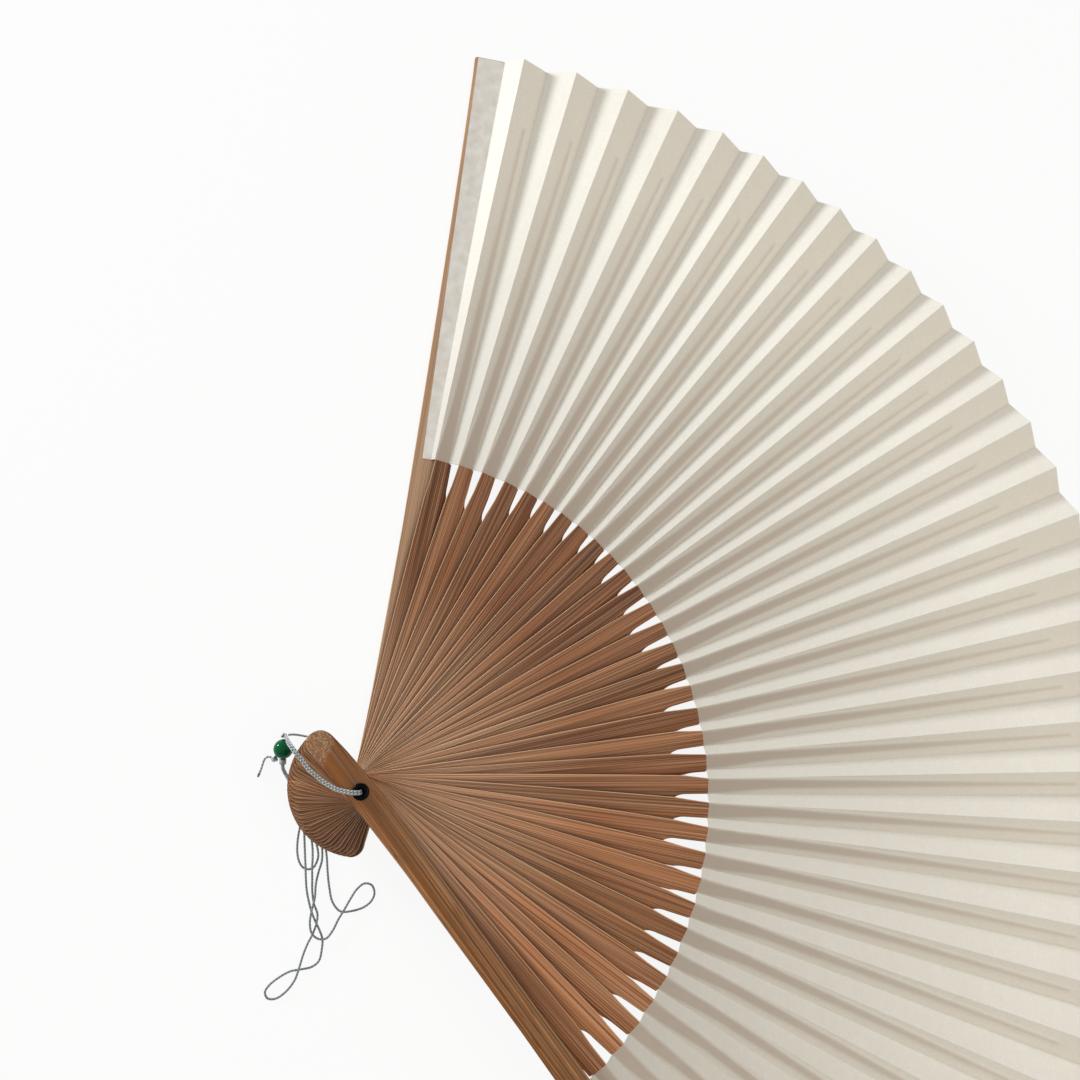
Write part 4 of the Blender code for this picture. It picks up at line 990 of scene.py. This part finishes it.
def pressed_glass(colours):
    """Opaque green glass of the bead, pressed and fire-polished: deep colour under a sharp gloss, with
    slightly paler swirls of glass."""
    material, tree, shader = new_material("pressed green glass", Roughness=0.08, IOR=1.52,
                                          Specular_IOR_Level=0.18)
    where = add_node(tree, "ShaderNodeTexCoord")
    at = add_node(tree, "ShaderNodeMapping", {"Vector": where.outputs["Object"],
                                              "Scale": [1.0 / (MM * GLASS_SWIRL)] * 3})
    swirl = add_node(tree, "ShaderNodeTexNoise", {"Vector": at.outputs[0], "Scale": 1.0, "Detail": 2.0,
                                                  "Distortion": 1.5})
    factor = add_node(tree, "ShaderNodeMapRange", {"Value": swirl.outputs["Fac"], "From Min": 0.45,
                                                   "From Max": 0.75, "To Min": 0.0, "To Max": 0.05})
    colour = add_node(tree, "ShaderNodeMix", {"Factor": factor.outputs[0], "A": rgba(colours.bead_green),
                                              "B": rgba(colours.bead_swirl)}, data_type="RGBA")
    tree.links.new(colour.outputs["Result"], shader.inputs["Base Color"])
    return material


def braided_cord(name, light, colours):
    """Braided polyester cord. Its strands cross in two directions, so the light catches raised diamonds
    about 0.6 mm apart, and the hollows between them are dark: the colour is painted lighter on the raised
    strands as a painted highlight, broken up by flecks, and darker in the hollows as painted shade. The
    strands have a silky sheen. The loops have been handled more than the rest and are greyer."""
    material, tree, shader = new_material(name, Roughness=0.55, Sheen_Weight=0.3, Sheen_Roughness=0.4)
    weave = add_node(tree, "ShaderNodeAttribute", attribute_name="weave")
    parts = add_node(tree, "ShaderNodeSeparateXYZ", {"Vector": weave.outputs["Vector"]})
    # Painted highlight where the strands are raised, painted shade in the hollows
    raised = add_node(tree, "ShaderNodeMapRange", {"Value": parts.outputs["Z"], "From Min": 0.1,
                                                   "From Max": 0.9, "To Min": 0.0, "To Max": 1.0})
    at = add_node(tree, "ShaderNodeMapping", {"Vector": weave.outputs["Vector"], "Scale": (1.6, 1.2, 1.0)})
    fleck = add_node(tree, "ShaderNodeTexNoise", {"Vector": at.outputs[0], "Scale": 1.0, "Detail": 2.0})
    factor = add_node(tree, "ShaderNodeMath", {0: raised.outputs[0], 1: fleck.outputs["Fac"]},
                      operation="MULTIPLY")
    bright = add_node(tree, "ShaderNodeMapRange", {"Value": factor.outputs[0], "From Min": 0.08,
                                                   "From Max": 0.55, "To Min": 0.0, "To Max": 1.0})
    colour = add_node(tree, "ShaderNodeMix", {"Factor": bright.outputs[0], "A": rgba(colours.cord_hollow_shade),
                                              "B": rgba(light)}, data_type="RGBA")
    tree.links.new(colour.outputs["Result"], shader.inputs["Base Color"])
    return material


def matt_floor(colours):
    """A matt white paper floor. To the camera, and in reflections, it is drawn mostly by its own light,
    so that it reads white, and by a share of what falls on it, so that it keeps the object's shadow."""
    material, tree, shader = new_material("matt paper floor", Base_Color=rgba(colours.floor), Roughness=1.0,
                                          Specular_IOR_Level=0.0)
    output = tree.nodes["Material Output"]
    rays = add_node(tree, "ShaderNodeLightPath")
    seen = add_node(tree, "ShaderNodeMath", {0: rays.outputs["Is Camera Ray"],
                                             1: rays.outputs["Is Glossy Ray"]}, operation="ADD")
    shown = add_node(tree, "ShaderNodeMath", {0: seen.outputs[0],
                                              1: rays.outputs["Is Transmission Ray"]},
                     operation="ADD", use_clamp=True)
    glow = add_node(tree, "ShaderNodeEmission", {"Color": (1.0, 1.0, 1.0, 1.0), "Strength": 1.0})
    share = add_node(tree, "ShaderNodeMath", {0: shown.outputs[0], 1: FLOOR_OWN_LIGHT}, operation="MULTIPLY")
    mixed = add_node(tree, "ShaderNodeMixShader", {0: share.outputs[0], 1: shader.outputs[0],
                                                   2: glow.outputs[0]})
    tree.links.new(mixed.outputs[0], output.inputs["Surface"])
    return material


# Operators


def settings():
    """The scene's sizes and colours."""
    scene = bpy.context.scene
    return scene.fan_sizes, scene.fan_colours


def stick_details(mesh, index):
    """Give a stick's vertices their place on it in millimetres with its number. The next stick leaves one
    edge of it bare: the anticlockwise one on the blade and the clockwise one on the head. edge_gap holds
    the distances in millimetres from the bare and from the covered edge, and how far a vertex is from the
    next stick, 0, to the bare edge, 1."""
    points = vertex_points(mesh)
    u, v = on_stick(index, points)
    high, low = stick_edges(u, index)
    beyond = np.ones(len(u))
    if index <= RIB_COUNT:
        next_u, next_v = on_stick(index + 1, points)
        next_high, next_low = stick_edges(next_u, index + 1)
        step = STICK_ANGLES[index] - STICK_ANGLES[index + 1]
        bare_width = step * np.maximum(np.abs(u), BARE_FROM)
        beyond = np.where(u > 0.0, next_v - next_high, next_low - next_v) / bare_width
    store(mesh, "stick_place", np.stack([u / MM, v / MM, np.full(len(u), float(index))], axis=-1))
    bare = np.where(u > 0.0, high - v, v - low)
    store(mesh, "edge_gap", np.stack([bare / MM, (high - low - bare) / MM, beyond], axis=-1))


class FAN_OT_stage(bpy.types.Operator):
    """Make the floor, the lights and the camera at the photograph's viewing angle"""
    bl_idname = "fan.stage"
    bl_label = "Stage"

    def execute(self, context):
        _, colours = settings()
        scene = context.scene
        places = np.linspace(-FLOOR_REACH, FLOOR_REACH, 9)
        x, y = np.meshgrid(places, places, indexing="ij")
        points = np.stack([x, y, np.full(x.shape, -FLOOR_DROP)], axis=-1).reshape(-1, 3)
        floor = link("floor", new_mesh("floor", points, quads(9, 9)))
        floor.data.materials.append(matt_floor(colours))
        for name, azimuth, tilt, distance, width, power, tint in LAMPS:
            lamp = bpy.data.lights.new(name, "AREA")
            lamp.shape = "DISK"
            lamp.size = width
            lamp.energy = power
            lamp.color = tint
            light = link(name, lamp)
            turn, lean = math.radians(azimuth), math.radians(tilt)
            light.location = distance * Vector((math.sin(lean) * math.cos(turn),
                                                math.sin(lean) * math.sin(turn), math.cos(lean)))
            light.rotation_euler = light.location.to_track_quat("Z", "Y").to_euler()
        scene.world = bpy.data.worlds.new("soft studio")
        scene.world.use_nodes = True
        background = scene.world.node_tree.nodes["Background"]
        background.inputs["Color"].default_value = WORLD_TINT
        background.inputs["Strength"].default_value = WORLD_STRENGTH
        scene.camera = link("camera", bpy.data.cameras.new("camera"))
        scene.camera.data.lens = CAMERA_LENS
        scene.camera.data.sensor_width = SENSOR_WIDTH
        scene.camera.data.clip_start = 0.01
        scene.camera.location = CAMERA_PLACE
        scene.camera.rotation_euler = [math.radians(angle) for angle in CAMERA_TURN]
        scene.view_settings.view_transform = "Standard"
        return {"FINISHED"}


def make_bead(colours):
    """The bored glass bead: a ball's outline from bore to bore, turned about the bore."""
    start = math.asin(BEAD_BORE_RADIUS / BEAD_RADIUS)
    turn = np.linspace(start, math.pi - start, 48)
    profile = np.column_stack([BEAD_RADIUS * np.sin(turn), BEAD_RADIUS * np.cos(turn)])
    mesh = turned("bead_glass", profile, BEAD_CENTRE + PIVOT, BEAD_AXIS, 72)
    return add_piece("bead_glass", mesh, pressed_glass(colours), home("bead"), ("bead",), 50.0)


def cord_piece(node, mesh, material):
    """A piece of the cord that stands for one CAD node."""
    return add_piece(mesh.name, mesh, material, home(node), (node,), 60.0)


def make_knots(material):
    """The three tied knots: trefoils of a cord that fills them."""
    made = {}
    over_bead = BEAD_CENTRE - BEAD_AXIS * (BEAD_TO_KNOT + TOP_KNOT_RADIUS)
    for name, centre, radius, tilt in (
            ("top_knot", over_bead, TOP_KNOT_RADIUS, BEAD_AXIS),
            ("side_knot", SIDE_KNOT_CENTRE, SIDE_KNOT_RADIUS, (0.3, 0.2, 1.0)),
            ("loop_knot", LOOP_KNOT_CENTRE, LOOP_KNOT_RADIUS, (0.2, 0.1, 1.0))):
        cord_radius = 0.42 * radius
        path, upright = knot_path(centre, radius, cord_radius, tilt)
        upright = upright + (0.013, 0.007, 0.0)
        made[name] = cord_piece(name, cord_mesh(name + "_tied", path, cord_radius, upright, closed=True),
                                material)
    return made


def make_collar(material):
    """The whipping under the bead: a straight tube along the bead's bore."""
    start = BEAD_CENTRE + BEAD_AXIS * BEAD_TO_KNOT + PIVOT
    path = start + BEAD_AXIS * np.linspace(0.0, COLLAR_LENGTH, 33)[:, None]
    return cord_piece("collar", cord_mesh("collar_whipping", path, COLLAR_RADIUS, LEVEL_CORD, 32,
                                          ripple="whipping"), material)


def make_sealed_tip(material):
    """The loose end's sealed tip: an outline that falls off with the fourth power of the distance, turned
    about the cord's last run."""
    last, before = np.array(TAIL_ROUTE[-1]), np.array(TAIL_ROUTE[-2])
    run = (last - before) / np.linalg.norm(last - before)
    radius, point = 0.55 * CORD_DIAMETER, 0.00001
    share = np.linspace(0.0, 1.0, 12)
    profile = [(point, 0.0), *zip(radius * np.sqrt(np.clip(1.0 - share ** 4, 0.0, 1.0)) + point,
                                  TAIL_TIP_LENGTH * (0.02 + 0.98 * share)), (point, TAIL_TIP_LENGTH)]
    return cord_piece("cord_tip", turned("cord_tip_sealed", profile, last + run * 0.00005 + PIVOT, run, 20),
                      material)


class FAN_OT_cords(bpy.types.Operator):
    """Make the braided cord with its strands, loops, knots, whippings and sealed tip, and its bead"""
    bl_idname = "fan.cords"
    bl_label = "Cords, knots and bead"

    def execute(self, context):
        sizes, colours = settings()
        material = braided_cord("braided cord", colours.cord_highlight, colours)
        greyer = braided_cord("braided cord of the loops", colours.loop_highlight, colours)
        made = {"bead": make_bead(colours)}
        apart = 0.5 * (CORD_DIAMETER + 0.00004)
        braid = (0.5 * sizes.cord_diameter, 16, "braid")
        whipping = (0.5 * WHIPPED_DIAMETER, 24, "whipping")
        paths = {}
        for name, route, upright, (radius, sides, ripple), finish in (
                ("front_strand_a", side_by_side(FRONT_STRAND_ROUTE, apart), HANGING_CORD, braid, material),
                ("front_strand_b", side_by_side(FRONT_STRAND_ROUTE, -apart), HANGING_CORD, braid, material),
                ("return_strand", RETURN_STRAND_ROUTE, HANGING_CORD, braid, material),
                ("short_loop", SHORT_LOOP_ROUTE, LEVEL_CORD, braid, greyer),
                ("long_loop", LONG_LOOP_ROUTE, LEVEL_CORD, braid, greyer),
                ("side_loop", SIDE_LOOP_ROUTE, LEVEL_CORD, braid, greyer),
                ("loose_end", TAIL_ROUTE, LEVEL_CORD, braid, material),
                ("whipped_cord", WHIPPED_ROUTE, LEVEL_CORD, whipping, material)):
            paths[name] = smooth_route(route, 0.00010)
            mesh = cord_mesh(name + "_braid", paths[name], radius, upright, sides, ripple=ripple)
            made[name] = cord_piece(name, mesh, finish)
        made.update(make_knots(material), collar=make_collar(material), cord_tip=make_sealed_tip(material))
        return {"FINISHED"}


class FAN_OT_ribs(bpy.types.Operator):
    """Make the thirty-three thin bamboo ribs"""
    bl_idname = "fan.ribs"
    bl_label = "Ribs"

    def execute(self, context):
        sizes, colours = settings()
        material = bamboo_for_ribs(colours)
        # Cross-sections stand close together from just before the shoulder to the leaf, for the notch
        before_shoulder = SHOULDER_RADIUS - 0.006
        blade = np.linspace(-HEAD_LENGTH + HEAD_ROUND, before_shoulder, 36)[1:]
        shoulder = np.linspace(before_shoulder, LEAF_RADIUS - 0.0003, 56)[1:]
        tail = np.linspace(LEAF_RADIUS, TIP_RADIUS, 22)
        u = np.concatenate([head_places(12), blade, shoulder, tail])[:, None]
        side, inset, up = RIB_SECTION.T[:, None, :]
        for index in range(1, RIB_COUNT + 1):
            high, low = rib_edges(u, index)
            edge = np.minimum(sizes.rib_edge, 0.2 * (high - low))
            v = 0.5 * (high + low) + 0.5 * side * (high - low) - np.sign(side) * inset * edge
            z = stick_base(index) + twist(u, v) + RIB_THICKNESS * up
            name = f"{stick_name(index)}_bamboo"
            mesh = drilled(loft(name, in_fan(index, u, v, z)), STICK_HOLE_RADIUS)
            stick_details(mesh, index)
            add_piece(name, mesh, material, stick_name(index), (stick_name(index),))
        return {"FINISHED"}


class FAN_OT_guards(bpy.types.Operator):
    """Make the two guards, whose outer faces have rounded edges and a slight crown"""
    bl_idname = "fan.guards"
    bl_label = "Guards"

    def execute(self, context):
        sizes, colours = settings()
        materials = {0: bamboo_for_rear_guard(colours), RIB_COUNT + 1: bamboo_for_front_guard(colours)}
        blade = np.linspace(-HEAD_LENGTH + HEAD_ROUND, GUARD_ROUND_START, 110)[1:]
        end = GUARD_ROUND_START + GUARD_TIP_ROUND * np.sin(np.linspace(0.1, 1.5, 8))
        u = np.concatenate([head_places(14), blade, end])[:, None]
        half = guard_half(u)
        relief = smooth((u - GUARD_RELIEF[0]) / (GUARD_RELIEF[1] - GUARD_RELIEF[0]))
        thick = GUARD_HEAD_THICKNESS + (GUARD_THICKNESS - GUARD_HEAD_THICKNESS) * relief
        outer = np.minimum(sizes.guard_edge, np.minimum(0.35 * half, 0.45 * thick))
        inner = 0.3 * outer
        # Quarter circles round the four long edges, with a crowned face between the outer two
        arc = np.linspace(0.0, 0.5 * math.pi, 6)[None, :]
        face = np.linspace(1.0, -1.0, 9)[None, 1:-1]
        crown = 0.16 * outer * (1.0 - face ** 2)
        right = (half - outer + outer * np.cos(arc), thick - crown.max() - outer + outer * np.sin(arc))
        top = (face * (half - outer), thick - crown.max() + crown)
        left = (-right[0][:, ::-1], right[1][:, ::-1])
        low_left = (-half + inner - inner * np.sin(arc[:, ::-1]), inner - inner * np.cos(arc[:, ::-1]))
        low_right = (-low_left[0][:, ::-1], low_left[1][:, ::-1])
        v = np.concatenate([right[0], top[0], left[0], low_left[0], low_right[0]], axis=1)
        z = np.concatenate([right[1], top[1], left[1], low_left[1], low_right[1]], axis=1)
        for index, full_bow, head_bend in ((0, REAR_GUARD_BOW, REAR_HEAD_BEND),
                                           (RIB_COUNT + 1, FRONT_GUARD_BOW, FRONT_HEAD_BEND)):
            height = GUARD_THICKNESS - z if index == 0 else FRONT_BASE + pleat_height(u) + z
            name = f"{stick_name(index)}_bamboo"
            points = in_fan(index, u, v + guard_bow(u, full_bow, head_bend), height)
            mesh = drilled(loft(name, points), STICK_HOLE_RADIUS)
            stick_details(mesh, index)
            add_piece(name, mesh, materials[index], stick_name(index), (stick_name(index),))
        return {"FINISHED"}


def store_leaf_place(mesh, beside_rib, from_valley, ribbed):
    """Give the leaf's vertices, above and below, their distances in millimetres from the rib and from the
    valley fold, and whether a rib is in their facet, 1, or not, 0."""
    place = np.stack(np.broadcast_arrays(beside_rib / MM, from_valley / MM, ribbed), axis=-1)
    store(mesh, "leaf_place", np.tile(place.reshape(-1, 3), (2, 1)))


def fold_thickness(u, sizes):
    """Half the leaf's thickness along its folds: thick at the inner edge, where the rib is as wide as the
    facet, and down to two plies 8 mm further out."""
    plain, full = sizes.paper_thickness, sizes.paper_over_rib
    return 0.5 * (full + (plain - full) * smooth((u - LEAF_RADIUS) / 0.008))


def ribbed_facet(index, u, sizes):
    """The leaf over a rib: a straight slope from the valley fold up to the mountain fold, whose plies part
    over the rib and close beside and past it in an S-curve as wide as the bedding."""
    fold, thick = facet_half(u), fold_thickness(u, sizes)
    centre, half, bed = rib_drift(u, index), tail_half(u), sizes.bedding
    # Lines across the facet: both folds, both edges of the rib's bed, and the rib between them
    stops = [-fold, np.maximum(centre - half - bed, -fold), np.maximum(centre - half, -fold), centre,
             np.minimum(centre + half, fold), np.minimum(centre + half + bed, fold), fold]
    rows = [low + (high - low) * share for low, high, count in zip(stops, stops[1:], (2, 4, 2, 2, 4, 2))
            for share in np.arange(count) / count]
    v = np.concatenate([*rows, fold], axis=1)
    beside, past = np.abs(v - centre) - half, np.maximum(0.0, u - TIP_RADIUS)
    gap = np.where(past > 0.0, np.hypot(np.maximum(beside, 0.0), past), beside)
    over_rib = smooth(1.0 - gap / bed) * np.clip((fold - np.abs(v)) / 0.0003, 0.0, 1.0)
    lift = thick + (0.5 * sizes.paper_over_rib - thick) * over_rib
    height = pleat_height(u) * (v + fold) / (2.0 * fold)
    middle = stick_base(index) + 0.5 * RIB_THICKNESS + height
    mesh = slab(f"leaf_rib_facet_{index:02d}", in_fan(index, u, v, middle + lift),
                in_fan(index, u, v, middle - lift))
    store_leaf_place(mesh, gap, v + fold, 1.0)
    return mesh


def flange_heights(u, sizes):
    """Heights of the middle of the pasted flanges, on the rear guard and under the front guard."""
    lift = PASTE_THICKNESS + 0.5 * sizes.paper_thickness
    return GUARD_THICKNESS + lift, FRONT_BASE + pleat_height(u) - lift


def rear_flange_edges(u):
    """The flange's edges on the rear guard, first the one that the leaf starts from: straight lines."""
    return [inner + (rim - inner) * leaf_share(u) for inner, rim in
            ((FLANGE_INNER_EDGES[1], FLANGE_RIM_EDGES[1]), (FLANGE_INNER_EDGES[0], FLANGE_RIM_EDGES[0]))]


def plain_facet(index, u, sizes):
    """The leaf between a stick and the next: flat from the one's valley fold, or the rear flange, to the
    other's mountain fold, or the front flange. With it come its middle at the inner edge and a reach to
    either side of that, of 0.45 of its width across there."""
    fold, thick, two_plies = facet_half(u), fold_thickness(u, sizes), 0.5 * sizes.paper_thickness + 0.0 * u
    rear, front = flange_heights(u, sizes)
    first, last = index == 0, index == RIB_COUNT
    valley = in_fan(index, u, rear_flange_edges(u)[0] if first else -fold,
                    rear if first else stick_base(index) + 0.5 * RIB_THICKNESS)
    mountain = in_fan(index + 1, u, fold,
                      front if last else stick_base(index + 1) + 0.5 * RIB_THICKNESS + pleat_height(u))
    sheet = np.concatenate([valley, 0.5 * (valley + mountain), mountain], axis=1)
    half_thick = np.concatenate([two_plies if first else thick, two_plies, two_plies if last else thick],
                                axis=1)[..., None] * (0.0, 0.0, 1.0)
    mesh = slab(f"leaf_plain_facet_{index:02d}", sheet + half_thick, sheet - half_thick)
    store_leaf_place(mesh, 0.009, np.linalg.norm(mountain - valley, axis=-1) * (0.0, 0.5, 1.0), 0.0)
    start, end = 0.5 * (sheet[[0, -1], 0] + sheet[[0, -1], 2])
    across = np.cross((0.0, 0.0, 1.0), end - start)
    across /= np.linalg.norm(across)
    return mesh, start, across * 0.45 * np.dot(sheet[0, 2] - sheet[0, 0], across)


class FAN_OT_leaf(bpy.types.Operator):
    """Make the pleated paper leaf: facets with a rib in them, plain facets and the two pasted flanges"""
    bl_idname = "fan.leaf"
    bl_label = "Leaf"

    def execute(self, context):
        sizes, colours = settings()
        paper, pasted = mulberry_paper(colours), pasted_paper(colours)
        u = np.linspace(LEAF_RADIUS, RIM_RADIUS, 106)[:, None]
        for index in range(1, RIB_COUNT + 1):
            mesh = ribbed_facet(index, u, sizes)
            add_piece(mesh.name, mesh, paper, stick_name(index),
                      ("leaf_front_ply", "leaf_back_ply") if index == 1 else (), 25.0)
        for index in range(RIB_COUNT + 1):
            mesh, middle, reach = plain_facet(index, u, sizes)
            piece = add_piece(mesh.name, mesh, paper, None, (), 25.0)
            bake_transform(piece)
        near, far = rear_flange_edges(u)
        share = np.linspace(0.0, 1.0, 5)[None, :]
        rise = 0.5 * sizes.paper_thickness
        for name, index, v, height in zip(
                ("leaf_rear_flange", "leaf_front_flange"), (0, RIB_COUNT + 1),
                (near + (far - near) * share, facet_half(u) * (2.0 * share - 1.0)),
                flange_heights(u, sizes)):
            mesh = slab(name, in_fan(index, u, v, height + rise), in_fan(index, u, v, height - rise))
            add_piece(name, mesh, pasted, stick_name(index), (), 25.0)
        return {"FINISHED"}


class FAN_OT_eyelet(bpy.types.Operator):
    """Make the eyelet: a flanged barrel with a rolled lip, and the ring round its other end"""
    bl_idname = "fan.eyelet"
    bl_label = "Eyelet"

    def execute(self, context):
        _, colours = settings()
        material = moulded_plastic(colours)
        front, top = FRONT_FACE + CLEARANCE, REAR_RELIEF - CLEARANCE
        bottom, inner = top - EYELET_RING_THICKNESS, BARREL_RADIUS + 0.00015
        # The lip is half an ellipse from the flange's edge to the bore, the ring's edge a quarter circle
        turn = np.linspace(0.0, math.pi, 15)
        middle, roll = 0.5 * (FLANGE_RADIUS + EYELET_BORE_RADIUS), 0.5 * (FLANGE_RADIUS - EYELET_BORE_RADIUS)
        lip = np.column_stack([middle + roll * np.cos(turn),
                               front + EYELET_LIP_BASE + EYELET_LIP_HEIGHT * np.sin(turn)])
        turn = np.linspace(0.0, 0.5 * math.pi, 6)
        edge = np.column_stack([FLANGE_RADIUS + EYELET_EDGE_ROUND * (np.sin(turn) - 1.0),
                                bottom + EYELET_EDGE_ROUND * (1.0 - np.cos(turn))])
        for node, profile in (
                ("eyelet_front", [(EYELET_BORE_RADIUS, bottom), (BARREL_RADIUS, bottom),
                                  (BARREL_RADIUS, front), (FLANGE_RADIUS - 0.0001, front),
                                  (FLANGE_RADIUS, front + 0.0001), *lip]),
                ("eyelet_rear", [(inner, top), (inner, bottom), *edge, (FLANGE_RADIUS, top)])):
            mesh = turned(node + "_moulded", profile, PIVOT, (0.0, 0.0, 1.0), 64)
            add_piece(mesh.name, mesh, material, home(node), (node,), 40.0)
        return {"FINISHED"}


class FAN_PT_panel(bpy.types.Panel):
    """Lists the fan's pieces and settings"""
    bl_idname = "FAN_PT_panel"
    bl_label = "Folding fan"
    bl_space_type = "VIEW_3D"
    bl_region_type = "UI"
    bl_category = "Fan"

    def draw(self, context):
        for operator in OPERATORS:
            self.layout.operator(operator.bl_idname)
        for group in (context.scene.fan_sizes, context.scene.fan_colours):
            for key in group.__annotations__:
                self.layout.prop(group, key)


# In the order of making: the camera and the cords come first
OPERATORS = (FAN_OT_stage, FAN_OT_cords, FAN_OT_ribs, FAN_OT_guards, FAN_OT_leaf, FAN_OT_eyelet)
CLASSES = (FanSizes, FanColours, *OPERATORS, FAN_PT_panel)


def register():
    """Register the classes, and give each scene its sizes and colours."""
    for cls in CLASSES:
        bpy.utils.register_class(cls)
    bpy.types.Scene.fan_sizes = bpy.props.PointerProperty(type=FanSizes)
    bpy.types.Scene.fan_colours = bpy.props.PointerProperty(type=FanColours)


def unregister():
    """Undo register, last things first."""
    del bpy.types.Scene.fan_colours
    del bpy.types.Scene.fan_sizes
    for cls in reversed(CLASSES):
        bpy.utils.unregister_class(cls)


def main():
    """Make every piece in order."""
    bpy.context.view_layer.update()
    register()
    for operator in OPERATORS:
        group, name = operator.bl_idname.split(".")
        getattr(getattr(bpy.ops, group), name)()


if __name__ == "__main__":
    main()
